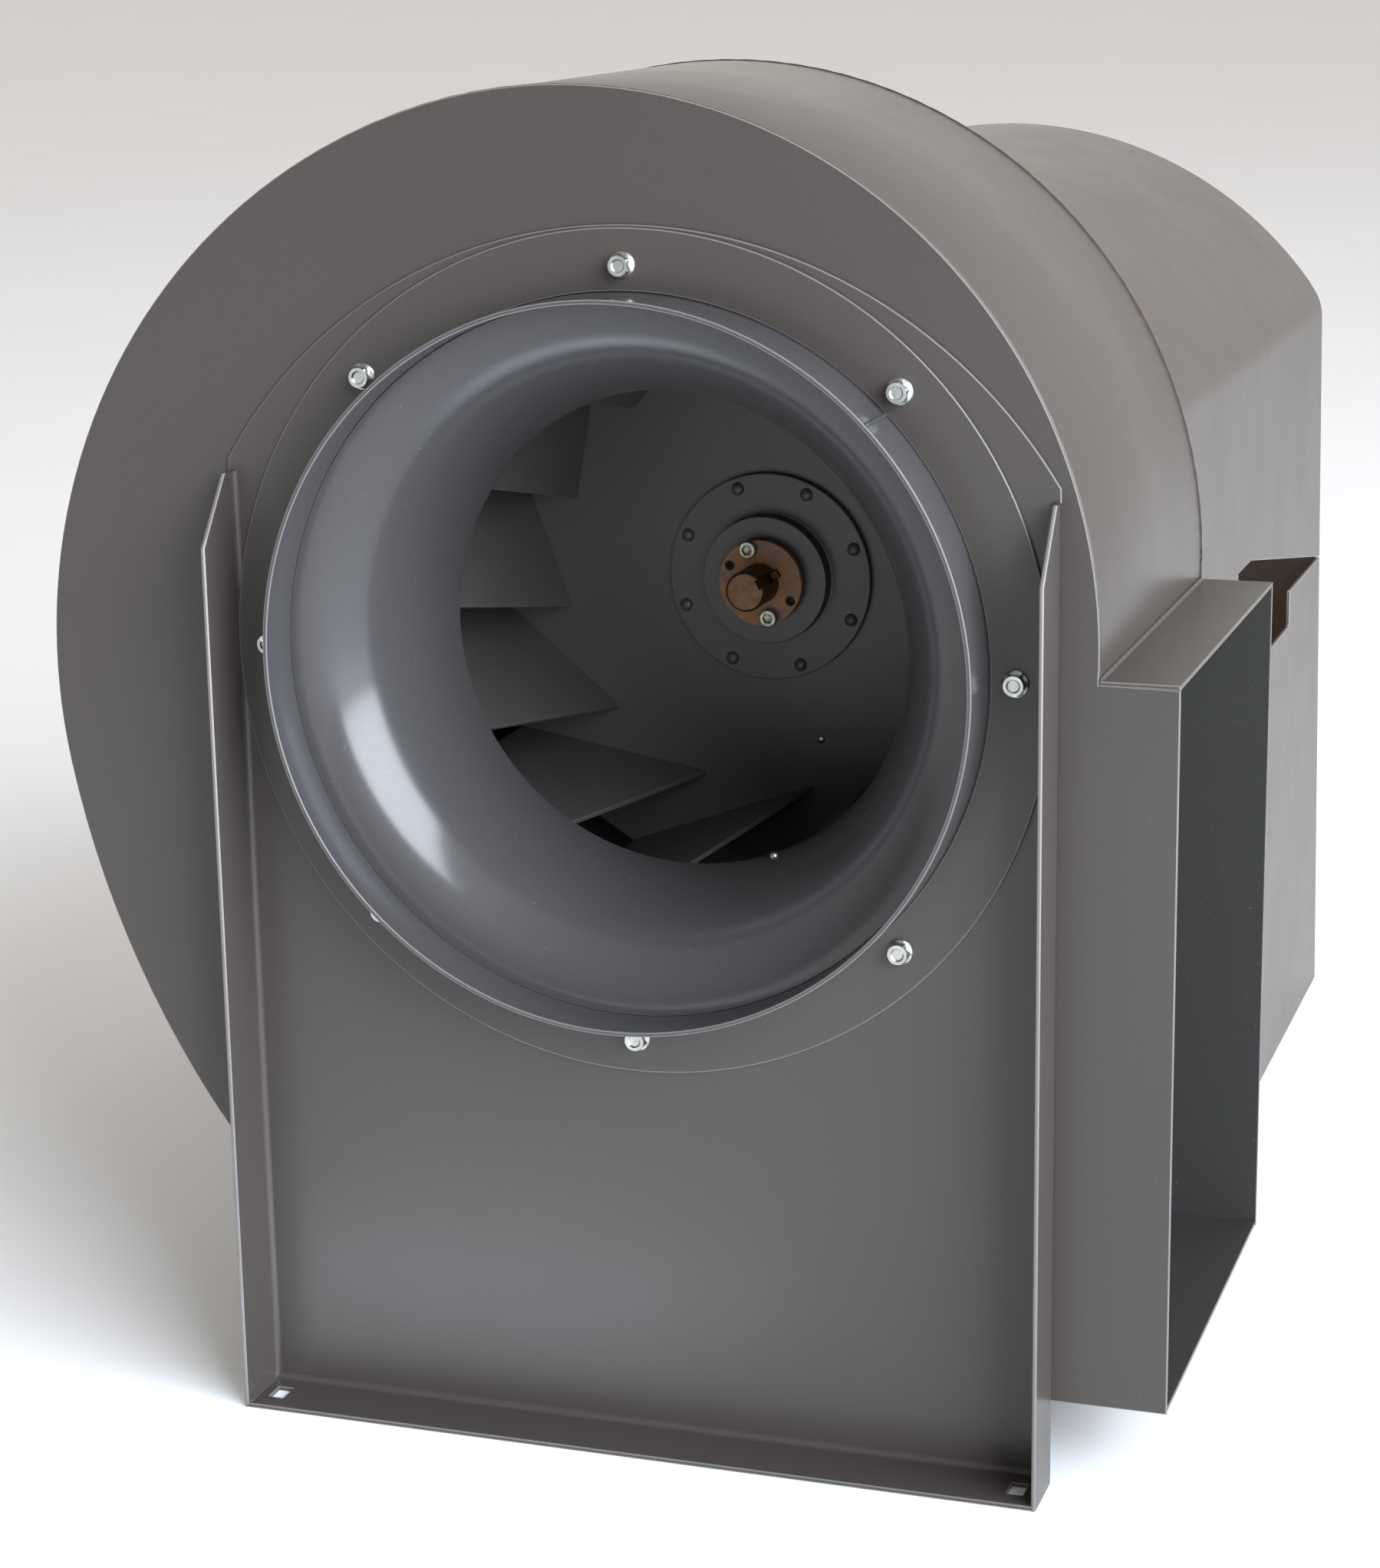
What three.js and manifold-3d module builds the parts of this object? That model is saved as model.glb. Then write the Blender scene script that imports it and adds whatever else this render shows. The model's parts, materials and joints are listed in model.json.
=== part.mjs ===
// Combustion fan: a belt-driven centrifugal blower with a backward-inclined wheel.
// A pedestal plate carries the inlet bell and the front of the scroll. Behind the scroll, the
// fan shaft runs in two pillow blocks under an arched hood, and a motor below drives it by belt.
//
// Millimetres. +X points to the outlet side, +Y from the inlet into the fan, +Z up. The origin
// is on the floor under the shaft, in the front plane of the front pedestal. Angles about the
// shaft are in degrees from +X towards +Z.

import * as THREE from "three";
import { mergeVertices } from "three/addons/utils/BufferGeometryUtils.js";
import Module from "manifold-3d";

const wasm = await Module();
wasm.setup();

// ---- Driving dimensions ------------------------------------------------------------------

const sheet = 3;                      // steel sheet of the housing
const fitGap = 0.3;                   // gap where one piece is trimmed to fit another
const shaftHeight = 530;
const halfWidth = 278;                // of both pedestals

const arch = { crown: 806, spring: 651 };            // top of the pedestals' arched outline
const foot = { flange: 46, slotX: 261, slotLength: 18, slotWidth: 12 };
const flangeTaper = 52;               // height over which a side flange narrows to its tip

const wheelRadius = 232;              // an 18 1/4 inch wheel
const bellThroat = 162;
const collar = { radius: 235, rim: -50 };
const ringRadius = 274.5;
const bellLip = -14;                  // where the bell starts inside the collar
const throatY = 99;
const bellEnd = 107;
const bellHole = 240;                 // clearance hole behind the ring

const ringBolts = {
  count: 8, circle: 251.4, hole: 4.6, shank: 4, shankEnd: 12, hexFlats: 13, headHeight: 8, flange: 8.7,
};

const scroll = { front: sheet, rear: 346 };
// The scroll's edge is four arcs, each tangent to the next: the first arc's centre from the
// shaft, the first three arcs' radii, and the angles where the arcs start and end.
const scrollArcs = { x: -41, rise: 18, radii: [343, 387, 630], angles: [-3, 107, 190, 213, 270] };
const outlet = { face: 352, floor: 55 };

// The drive housing's rear leans: drive.rear is its place in Y at the arch's spring line.
const drive = { rear: 1050, rearSlope: 0.12, frameRear: 880, frameHalf: 155, frameToe: 28, plate: 5 };
const rearAt = (z) => drive.rear + drive.rearSlope * (arch.spring - z);
// Heights of the wedge-shaped notch between the side panels and the hood, and its places in Y.
const notch = {
  shoulder: 416, well: 385, wellTop: 438, top: 480, rebate: 5,
  front: 643, hoodFront: 702, wellFront: 815, step: 911,
};
const bearing = {
  centreHeight: 36.5, front: 440, rear: 800, halfWidth: 70, halfDepth: 19, base: 14,
  boss: 35, boltX: 52.5, boltHole: 5.6, innerRadius: 18.5,
};
const bearingBolts = { head: 9.2, headHeight: 7, shank: 4.9, shankLength: 30 };
const shaft = { radius: 14.3, front: 236, rear: 965 };

const plateY = 300;                   // front face of the wheel's backplate
const plateThickness = 4;
const bladeCount = 12;
const blade = { innerRadius: 156, lean: 81, thickness: 3, slant: 40, firstAngle: 11 };
const shroud = { eye: 167, front: 100, depth: 49, thickness: 2.5 };
const hub = { front: 281, rear: 325, barrel: 46, spigot: 44, flange: 75, thickness: 6 };
const rivets = { count: 8, circle: 67, radius: 4.8, height: 3.4, firstAngle: -70 };
const bushing = {
  flange: 31, face: 271, thickness: 8, frontTaper: 20.6, rearTaper: 18.6,
  screwCircle: 25.4, screwAngle: 107, jackAngle: 152, screwHole: 3.6,
};
const capScrews = { head: 6.6, headHeight: 6, shank: 3.1, end: 303 };
const key = { half: 3.2, angle: 30, bottom: 10.6, top: 16.9, slotBottom: 10.3 };

const sheaveY = 940;                  // plane of the belt
const fanSheave = 78;
const motorSheave = 55;
const sheaveHub = 28;
const belt = { top: 2, bottom: 10, width: 9.2 };     // depths below the sheaves' outer radius
const motor = {
  height: 241, radius: 92, front: 620, rear: 835, shaftRadius: 14, shaftEnd: 962, cowlDepth: 55,
};
const shelf = { top: 121, front: 560 };
const slideBase = { height: 20, halfWidth: 130, railFronts: [640, 780], railWidth: 36, tieX: 118 };

// ---- Materials ---------------------------------------------------------------------------

const finish = (color, roughness, metalness) =>
  new THREE.MeshStandardMaterial({ color, roughness, metalness });

const enamel = finish(0x544c48, 0.42, 0.15);
const bellEnamel = finish(0x565a60, 0.38, 0.2);
const wheelEnamel = finish(0x3f3836, 0.5, 0.15);
const zinc = finish(0xd9dadb, 0.3, 0.9);
const rustyIron = finish(0x5b4034, 0.75, 0.4);
const brightSteel = finish(0xa79c8b, 0.35, 0.9);
const castIron = finish(0x4b5258, 0.6, 0.5);
const motorEnamel = finish(0x3e5a6e, 0.45, 0.2);
const beltRubber = finish(0x17171a, 0.85, 0);

// ---- Solids ------------------------------------------------------------------------------

const radians = THREE.MathUtils.degToRad;
const point = (x, y) => new THREE.Vector2(x, y);
const polar = (radius, degrees, x = 0, y = 0) =>
  point(x + radius * Math.cos(radians(degrees)), y + radius * Math.sin(radians(degrees)));

function arcPoints(radius, from, to, steps, x = 0, y = 0) {
  return Array.from({ length: steps + 1 }, (_, i) =>
    polar(radius, from + ((to - from) * i) / steps, x, y));
}

function circlePoints(radius, steps, x = 0, y = 0) {
  return arcPoints(radius, 0, 360, steps, x, y).slice(0, -1);
}

function signedVolume(position, index) {
  const [a, b, c] = [new THREE.Vector3(), new THREE.Vector3(), new THREE.Vector3()];
  let six = 0;
  for (let i = 0; i < index.count; i += 3) {
    a.fromBufferAttribute(position, index.getX(i));
    b.fromBufferAttribute(position, index.getX(i + 1));
    c.fromBufferAttribute(position, index.getX(i + 2));
    six += a.dot(b.cross(c));
  }
  return six / 6;
}

// A closed geometry as a manifold solid with its faces pointing out.
function solid(geometry) {
  const bare = geometry.clone();
  bare.deleteAttribute("normal");
  bare.deleteAttribute("uv");
  const merged = mergeVertices(bare, 1e-4);
  const { position } = merged.attributes;
  const inward = signedVolume(position, merged.index) < 0;
  const triangles = [];
  for (let i = 0; i < merged.index.count; i += 3) {
    const corners = [0, 1, 2].map((k) => merged.index.getX(i + k));
    if (new Set(corners).size === 3) {
      triangles.push(...(inward ? corners.reverse() : corners));
    }
  }
  return new wasm.Manifold(new wasm.Mesh({
    numProp: 3,
    vertProperties: new Float32Array(position.array),
    triVerts: new Uint32Array(triangles),
  }));
}

function geometryOf(manifold) {
  const { vertProperties, triVerts } = manifold.getMesh();
  const geometry = new THREE.BufferGeometry();
  geometry.setAttribute("position", new THREE.BufferAttribute(vertProperties, 3));
  geometry.setIndex(new THREE.BufferAttribute(triVerts, 1));
  geometry.computeVertexNormals();
  return geometry;
}

function piece(name, manifold, material) {
  const mesh = new THREE.Mesh(geometryOf(manifold), material);
  mesh.name = name;
  return mesh;
}

function joined(...manifolds) {
  return manifolds.reduce((whole, next) => whole.add(next));
}

function cut(manifold, ...tools) {
  return tools.reduce((rest, tool) => rest.subtract(tool), manifold);
}

function extruded(outline, holes, depth) {
  const shape = new THREE.Shape(outline);
  shape.holes = holes.map((hole) => new THREE.Path(hole));
  return new THREE.ExtrudeGeometry(shape, { depth, bevelEnabled: false });
}

// An outline in X and Z, extruded along +Y from front.
function plateAcrossY(outline, holes, front, depth) {
  const geometry = extruded(outline, holes, depth);
  return solid(geometry.rotateX(Math.PI / 2).translate(0, front + depth, 0));
}

// An outline in Y and Z, extruded along +X from left.
function plateAcrossX(outline, left, depth) {
  const yzToX = new THREE.Matrix4().set(0, 0, 1, left, 1, 0, 0, 0, 0, 1, 0, 0, 0, 0, 0, 1);
  return solid(extruded(outline, [], depth).applyMatrix4(yzToX));
}

function block(x, y, z) {
  const box = new THREE.BoxGeometry(x[1] - x[0], y[1] - y[0], z[1] - z[0]);
  return solid(box.translate((x[0] + x[1]) / 2, (y[0] + y[1]) / 2, (z[0] + z[1]) / 2));
}

// A closed profile of [radius, y] corners, turned about the Y axis.
function turned(profile, segments) {
  const ring = [...profile, profile[0]].map(([radius, y]) => point(radius, y));
  return solid(new THREE.LatheGeometry(ring, segments));
}

// A straight rod along Y, at x and z.
function rodAlongY(radius, from, to, segments, x = 0, z = 0) {
  const rod = new THREE.CylinderGeometry(radius, radius, to - from, segments);
  return solid(rod.translate(x, (from + to) / 2, z));
}

// A straight rod along Z, at x and y.
function rodAlongZ(radius, from, to, segments, x, y) {
  const rod = new THREE.CylinderGeometry(radius, radius, to - from, segments);
  return solid(rod.rotateX(Math.PI / 2).translate(x, y, (from + to) / 2));
}

function groupOf(meshes, height = 0) {
  const group = new THREE.Group();
  group.position.z = height;
  group.add(...meshes);
  return group;
}

// ---- Shared outlines ---------------------------------------------------------------------

// The arched outline of a pedestal, from its base up, drawn inside the full size by inset.
function archOutline(inset, base) {
  const rise = arch.crown - arch.spring;
  const radius = (halfWidth ** 2 + rise ** 2) / (2 * rise);
  const centre = arch.crown - radius;
  const side = halfWidth - inset;
  const springAngle = THREE.MathUtils.radToDeg(Math.acos(side / (radius - inset)));
  const top = arcPoints(radius - inset, springAngle, 180 - springAngle, 24, 0, centre);
  return [point(-side, base), point(side, base), ...top];
}

// The scroll's arcs from the cut-off, over the top and round to the outlet floor. Each centre
// lies on the line through the last centre and the joint; the last radius reaches the floor.
function scrollArcList() {
  const { angles, radii } = scrollArcs;
  let centre = point(scrollArcs.x, shaftHeight + scrollArcs.rise);
  return angles.slice(1).map((to, i) => {
    const joint = polar(1, angles[i]);
    let radius = radii[i];
    if (i > 0) {
      const last = radii[i - 1];
      radius ??= (centre.y + last * joint.y - outlet.floor) / (1 + joint.y);
      centre = centre.clone().addScaledVector(joint, last - radius);
    }
    return { centre, radius, from: angles[i], to };
  });
}

// The scroll's edge, drawn inside its full size by inset.
function scrollEdge(inset) {
  const degreesPerStep = 7.5;
  return scrollArcList().flatMap(({ centre, radius, from, to }, i) => {
    const steps = Math.ceil((to - from) / degreesPerStep);
    const arc = arcPoints(radius - inset, from, to, steps, centre.x, centre.y);
    return i > 0 ? arc.slice(1) : arc;
  });
}

const cutoffStart = scrollEdge(0)[0].x;
const cutoffHeight = scrollEdge(0)[0].y;

function scrollOutline() {
  return [...scrollEdge(0), point(outlet.face, outlet.floor), point(outlet.face, cutoffHeight)];
}

const boltAngles = Array.from({ length: ringBolts.count }, (_, i) => (i * 360) / ringBolts.count);

function ringBoltHoles() {
  return boltAngles.map((degrees) => {
    const centre = polar(ringBolts.circle, degrees, 0, shaftHeight);
    return circlePoints(ringBolts.hole, 8, centre.x, centre.y);
  });
}

// ---- Front pedestal and inlet ------------------------------------------------------------

function frontPedestal() {
  const bellClearance = circlePoints(bellHole, 64, 0, shaftHeight);
  const holes = [bellClearance, ...ringBoltHoles()];
  const plate = plateAcrossY(archOutline(0, 0), holes, 0, sheet);
  const flangeOutline = [
    point(sheet, 0), point(sheet, arch.spring - 1), point(0, arch.spring - 1),
    point(-foot.flange, arch.spring - flangeTaper), point(-foot.flange, 0),
  ];
  const left = plateAcrossX(flangeOutline, -halfWidth, sheet);
  const right = plateAcrossX(flangeOutline, halfWidth - sheet, sheet);
  const base = block([-halfWidth, halfWidth], [-foot.flange, sheet], [0, sheet]);
  const slots = [-foot.slotX, foot.slotX].map((x) => {
    const across = [x - foot.slotWidth / 2, x + foot.slotWidth / 2];
    const along = [-foot.flange / 2 - foot.slotLength / 2, -foot.flange / 2 + foot.slotLength / 2];
    return block(across, along, [-1, sheet + 1]);
  });
  return piece("front_pedestal", cut(joined(plate, left, right, base), ...slots), enamel);
}

function inletRing() {
  const hole = circlePoints(collar.radius + fitGap, 64, 0, shaftHeight);
  const outer = circlePoints(ringRadius, 64, 0, shaftHeight);
  const ring = plateAcrossY(outer, [hole, ...ringBoltHoles()], -sheet, sheet);
  return piece("inlet_ring", ring, enamel);
}

function inletCollar() {
  const inner = collar.radius - sheet;
  const profile = [[inner, collar.rim], [collar.radius, collar.rim], [collar.radius, 0], [inner, 0]];
  return piece("inlet_collar", turned(profile, 64), bellEnamel);
}

// The spun bell: a quarter ellipse from the collar to the throat, and a short straight end.
function inletBell() {
  const wall = 2;
  const lip = collar.radius - sheet - fitGap;
  const curve = (offset) => Array.from({ length: 8 }, (_, i) => {
    const t = radians((i * 90) / 7);
    const radial = lip - bellThroat - offset;
    const axial = throatY - bellLip - offset;
    return [lip - radial * Math.sin(t), throatY - axial * Math.cos(t)];
  });
  const end = [[bellThroat, bellEnd], [bellThroat + wall, bellEnd]];
  return piece("inlet_bell", turned([...curve(0), ...end, ...curve(wall).reverse()], 60), bellEnamel);
}

// One flange bolt on the +X side of the bolt circle, its head on the ring.
function ringBolt(name, degrees) {
  const face = -sheet;
  const head = rodAlongY(ringBolts.hexFlats / Math.sqrt(3), face - ringBolts.headHeight, face - 1, 6);
  const flange = rodAlongY(ringBolts.flange, face - 2, face, 16);
  const shank = rodAlongY(ringBolts.shank, face - 1, ringBolts.shankEnd, 10);
  const bolt = piece(name, joined(head, flange, shank).translate(ringBolts.circle, 0, 0), zinc);
  bolt.rotation.y = -radians(degrees);
  return bolt;
}

function inletBolts() {
  return groupOf(boltAngles.map((degrees, i) => ringBolt(`ring_bolt_${i + 1}`, degrees)), shaftHeight);
}

// ---- Scroll housing ----------------------------------------------------------------------

function scrollFrontPanel() {
  const holes = [circlePoints(bellHole, 64, 0, shaftHeight), ...ringBoltHoles()];
  const panel = plateAcrossY(scrollOutline(), holes, scroll.front, sheet);
  return piece("scroll_front_panel", panel, enamel);
}

function scrollRearPanel() {
  const hole = circlePoints(48, 24, 0, shaftHeight);
  const panel = plateAcrossY(scrollOutline(), [hole], scroll.rear - sheet, sheet);
  return piece("scroll_rear_panel", panel, enamel);
}

function scrollWrap() {
  const outer = [...scrollEdge(0), point(outlet.face, outlet.floor)];
  const inner = [point(outlet.face, outlet.floor + sheet), ...scrollEdge(sheet).reverse()];
  const front = scroll.front + sheet;
  const wrap = plateAcrossY([...outer, ...inner], [], front, scroll.rear - sheet - front);
  return piece("scroll_wrap", wrap, enamel);
}

function cutoffLip() {
  const x = [cutoffStart + 1, outlet.face];
  const lip = block(x, [scroll.front, scroll.rear], [cutoffHeight, cutoffHeight + sheet]);
  return piece("cutoff_lip", lip, enamel);
}

// ---- Drive housing -----------------------------------------------------------------------

function driveFrontPlate() {
  const hole = circlePoints(30, 16, 0, shaftHeight);
  const plate = plateAcrossY(archOutline(sheet + fitGap, 0), [hole], scroll.rear, sheet);
  return piece("drive_front_plate", plate, enamel);
}

// The rear plate is upright as cut, then sheared to the housing's lean.
function driveRearPlate() {
  const upright = plateAcrossY(archOutline(sheet + fitGap, 0), [], rearAt(0) - sheet, sheet);
  const leaning = upright.transform([1, 0, 0, 0, 0, 1, 0, 0, 0, -drive.rearSlope, 1, 0, 0, 0, 0, 1]);
  return piece("drive_rear_plate", leaning, enamel);
}

// A side panel from the floor to the hood, its foot folded inwards. side is -1 or +1.
function sidePanel(name, side) {
  const outline = [
    point(scroll.rear, 0), point(rearAt(0), 0), point(rearAt(notch.shoulder), notch.shoulder),
    point(notch.step, notch.shoulder), point(notch.step, notch.well),
    point(notch.wellFront, notch.well), point(notch.wellFront, notch.wellTop),
    point(notch.front, notch.top - notch.rebate), point(notch.front, notch.top),
    point(scroll.rear, notch.top),
  ];
  const web = plateAcrossX(outline, side > 0 ? halfWidth - sheet : -halfWidth, sheet);
  const inside = [halfWidth - foot.flange, halfWidth - 1];
  const footX = side > 0 ? inside : [-inside[1], -inside[0]];
  const footY = [scroll.rear + sheet + fitGap, rearAt(sheet) - sheet - fitGap];
  return piece(name, joined(web, block(footX, footY, [0, sheet])), enamel);
}

// The arched hood stands on the side panels; its lower edge slopes down to the rear corner.
function driveHood() {
  const edge = notch.shoulder + fitGap;
  const front = notch.top + fitGap;
  const outside = archOutline(0, edge);
  const inside = archOutline(sheet, edge).reverse();
  const [left, right] = [outside[0], outside[1]];
  const outline = [right, ...outside.slice(2), left, inside.at(-1), ...inside.slice(0, -1)];
  const above = arch.crown + 1;
  const shell = plateAcrossY(outline, [], scroll.rear, rearAt(edge) - scroll.rear);
  const sideView = plateAcrossX([
    point(scroll.rear, front), point(notch.hoodFront, front), point(rearAt(edge), edge),
    point(rearAt(above), above), point(scroll.rear, above),
  ], -halfWidth - 1, 2 * halfWidth + 2);
  return piece("drive_hood", shell.intersect(sideView), enamel);
}

// An inverted channel from the scroll's back to behind the rear bearing, with outward feet.
function bearingPedestal() {
  const { frameHalf, frameToe, plate } = drive;
  const top = shaftHeight - bearing.centreHeight;
  const toe = frameHalf + frameToe;
  const outline = [
    point(toe, 0), point(toe, plate), point(frameHalf, plate), point(frameHalf, top),
    point(-frameHalf, top), point(-frameHalf, plate), point(-toe, plate), point(-toe, 0),
    point(plate - frameHalf, 0), point(plate - frameHalf, top - plate),
    point(frameHalf - plate, top - plate), point(frameHalf - plate, 0),
  ];
  const front = scroll.rear + sheet;
  const channel = plateAcrossY(outline, [], front, drive.frameRear - front);
  const holes = [bearing.front, bearing.rear].flatMap((y) =>
    [-bearing.boltX, bearing.boltX].map((x) =>
      rodAlongZ(bearing.boltHole, top - plate - 1, top + 1, 8, x, y)));
  return piece("bearing_pedestal", cut(channel, ...holes), enamel);
}

// ---- Bearings ----------------------------------------------------------------------------

function bearingHousing(name, y) {
  const { halfWidth: half, halfDepth, innerRadius, boltX } = bearing;
  const bottom = shaftHeight - bearing.centreHeight;
  const top = bottom + bearing.base;
  const [front, rear] = [y - halfDepth + 2, y + halfDepth - 2];
  const base = block([-half, half], [y - halfDepth, y + halfDepth], [bottom, top]);
  const boss = rodAlongY(bearing.boss, front, rear, 28, 0, shaftHeight);
  const bore = rodAlongY(innerRadius + 0.8, y - halfDepth - 1, y + halfDepth + 1, 28, 0, shaftHeight);
  const holes = [-boltX, boltX].map((x) =>
    rodAlongZ(bearing.boltHole, bottom - 1, top + 1, 8, x, y));
  return piece(name, cut(joined(base, boss), bore, ...holes), castIron);
}

function bearingBolt(name, x, y) {
  const seat = shaftHeight - bearing.centreHeight + bearing.base;
  const head = rodAlongZ(bearingBolts.head, seat, seat + bearingBolts.headHeight, 6, x, y);
  const shank = rodAlongZ(bearingBolts.shank, seat - bearingBolts.shankLength, seat + 1, 8, x, y);
  return piece(name, joined(head, shank), zinc);
}

// The inner ring that turns with the shaft, and its set-screw collar.
function bearingInner(name, y) {
  const bore = shaft.radius + fitGap;
  const [front, rear] = [y - bearing.halfDepth + 2, y + bearing.halfDepth + 3];
  const profile = [
    [bore, front], [bearing.innerRadius, front], [bearing.innerRadius, rear], [bore, rear],
  ];
  return piece(name, turned(profile, 28), brightSteel);
}

function pillowBlocks() {
  return [["front", bearing.front], ["rear", bearing.rear]].flatMap(([place, y]) => [
    bearingHousing(`bearing_housing_${place}`, y),
    bearingBolt(`bearing_bolt_${place}_left`, -bearing.boltX, y),
    bearingBolt(`bearing_bolt_${place}_right`, bearing.boltX, y),
  ]);
}

// ---- Wheel -------------------------------------------------------------------------------

function backplate() {
  const bore = hub.spigot + 2;
  const rear = plateY + plateThickness;
  const profile = [[bore, plateY], [wheelRadius, plateY], [wheelRadius, rear], [bore, rear]];
  return piece("wheel_backplate", turned(profile, 60), wheelEnamel);
}

// A quarter ellipse across the shroud, from its eye to the wheel's outer edge.
function shroudCurve(offset) {
  const radial = wheelRadius - shroud.eye + offset;
  const axial = shroud.depth + offset;
  return Array.from({ length: 6 }, (_, i) => {
    const t = radians(i * 18);
    return [wheelRadius - radial * Math.cos(t), shroud.front + axial * Math.sin(t)];
  });
}

function wheelShroud() {
  const profile = [...shroudCurve(0), ...shroudCurve(-shroud.thickness).reverse()];
  return piece("wheel_shroud", turned(profile, 52), wheelEnamel);
}

// A flat blade, leaning back from the direction of turning, trimmed to the inside of the shroud.
function bladeBlank() {
  const lean = radians(blade.lean);
  const inner = blade.innerRadius;
  const outer = wheelRadius - 2;
  const chord = Math.sqrt(outer ** 2 - (inner * Math.sin(lean)) ** 2) - inner * Math.cos(lean);
  const rear = plateY - fitGap;
  const outline = [
    point(0, rear), point(blade.slant, shroud.front), point(chord, shroud.front), point(chord, rear),
  ];
  const along = new THREE.Vector3(Math.cos(lean), 0, -Math.sin(lean));
  const axis = new THREE.Vector3(0, 1, 0);
  const facing = new THREE.Vector3().crossVectors(along, axis);
  const placed = new THREE.Matrix4().makeBasis(along, axis, facing).setPosition(inner, 0, 0);
  const blank = solid(extruded(outline, [], blade.thickness).applyMatrix4(placed));
  const inFront = turned([
    [inner - 10, shroud.front - 10], ...shroudCurve(fitGap),
    [wheelRadius + 5, shroud.front + shroud.depth + fitGap], [wheelRadius + 5, shroud.front - 10],
  ], 52);
  return cut(blank, inFront);
}

function wheelBlades() {
  const blank = bladeBlank();
  return Array.from({ length: bladeCount }, (_, i) => {
    const mesh = piece(`blade_${String(i + 1).padStart(2, "0")}`, blank, wheelEnamel);
    mesh.rotation.y = -radians(blade.firstAngle + (i * 360) / bladeCount);
    return mesh;
  });
}

// Something on the +X side of the shaft, turned to its angle.
const turnedTo = (manifold, degrees) => manifold.rotate([0, -degrees, 0]);

function screwHoles(radius, angle, from, to) {
  return [angle, angle + 180].map((degrees) =>
    turnedTo(rodAlongY(radius, from, to, 8, bushing.screwCircle), degrees));
}

function wheelHub() {
  const { front, rear, barrel, spigot, flange } = hub;
  const face = plateY - hub.thickness;
  const seat = plateY - fitGap;
  const body = turned([
    [bushing.frontTaper + fitGap, front], [barrel, front], [barrel, face], [flange, face],
    [flange, seat], [spigot, seat], [spigot, rear], [bushing.rearTaper + fitGap, rear],
  ], 40);
  const heads = Array.from({ length: rivets.count }, (_, i) => {
    const head = rodAlongY(rivets.radius, face - rivets.height, face + 1, 10, rivets.circle);
    return turnedTo(head, rivets.firstAngle + (i * 360) / rivets.count);
  });
  const tapped = screwHoles(bushing.screwHole, bushing.screwAngle, front - 1, capScrews.end + 2);
  return piece("wheel_hub", cut(joined(body, ...heads), ...tapped), wheelEnamel);
}

function keyway(clearance, from, to, inner, outer) {
  const half = key.half + clearance;
  return turnedTo(block([inner, outer], [from, to], [-half, half]), key.angle);
}

function taperBushing() {
  const { face, flange, frontTaper, rearTaper, screwAngle, jackAngle } = bushing;
  const bore = shaft.radius + fitGap;
  const back = face + bushing.thickness;
  const body = turned([
    [bore, face], [flange, face], [flange, back],
    [frontTaper, back], [rearTaper, hub.rear], [bore, hub.rear],
  ], 40);
  const holes = [screwAngle, jackAngle].flatMap((angle) =>
    screwHoles(bushing.screwHole, angle, face - 1, back + 1));
  const slot = keyway(fitGap, face - 1, hub.rear + 1, 8, key.top + fitGap);
  return piece("taper_bushing", cut(body, slot, ...holes), rustyIron);
}

function capScrew(name, degrees) {
  const { face, screwCircle } = bushing;
  const head = rodAlongY(capScrews.head, face - capScrews.headHeight, face, 6, screwCircle);
  const shank = rodAlongY(capScrews.shank, face - 1, capScrews.end, 8, screwCircle);
  return piece(name, turnedTo(joined(head, shank), degrees), zinc);
}

function fanShaft() {
  const { radius, front, rear } = shaft;
  const rod = turned([
    [0, front], [radius - 1.5, front], [radius, front + 1.5], [radius, rear], [0, rear],
  ], 28);
  const seat = keyway(fitGap, front - 1, hub.rear, key.slotBottom, radius + 2);
  return piece("fan_shaft", cut(rod, seat), brightSteel);
}

function shaftKey() {
  return piece("shaft_key", keyway(0, bushing.face - 4, hub.rear - 6, key.bottom, key.top), brightSteel);
}

// ---- Belt drive --------------------------------------------------------------------------

// A single-groove sheave on the Y axis, with a web between rim and hub.
function sheave(name, radius, bore) {
  const [rim, groove] = [radius - 20, radius - 12];
  const half = [
    [bore, -14], [sheaveHub, -14], [sheaveHub, -4], [rim, -4], [rim, -11], [radius, -11],
    [radius, -7.5], [groove, -5.4],
  ];
  const other = half.map(([r, y]) => [r, -y]).reverse();
  const profile = [...half, ...other].map(([r, y]) => [r, y + sheaveY]);
  return piece(name, turned(profile, 30), castIron);
}

// The belt's loop around both sheaves, at a depth below their outer radii.
function beltLoop(depth) {
  const upper = fanSheave - depth;
  const lower = motorSheave - depth;
  const lean = THREE.MathUtils.radToDeg(Math.asin((upper - lower) / (shaftHeight - motor.height)));
  return [
    ...arcPoints(upper, -lean, 180 + lean, 20, 0, shaftHeight),
    ...arcPoints(lower, 180 + lean, 360 - lean, 16, 0, motor.height),
  ];
}

function vBelt() {
  const front = sheaveY - belt.width / 2;
  const loop = plateAcrossY(beltLoop(belt.top), [beltLoop(belt.bottom)], front, belt.width);
  return piece("v_belt", loop, beltRubber);
}

// ---- Motor -------------------------------------------------------------------------------

const baseTop = shelf.top + slideBase.height;
const baseMiddle = (slideBase.railFronts[0] + slideBase.railFronts[1] + slideBase.railWidth) / 2;

function motorShelf() {
  const inside = drive.frameHalf - drive.plate - fitGap;
  const along = [shelf.front, drive.frameRear - 4];
  const plate = block([-inside, inside], along, [shelf.top - drive.plate, shelf.top]);
  return piece("motor_shelf", plate, enamel);
}

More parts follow.
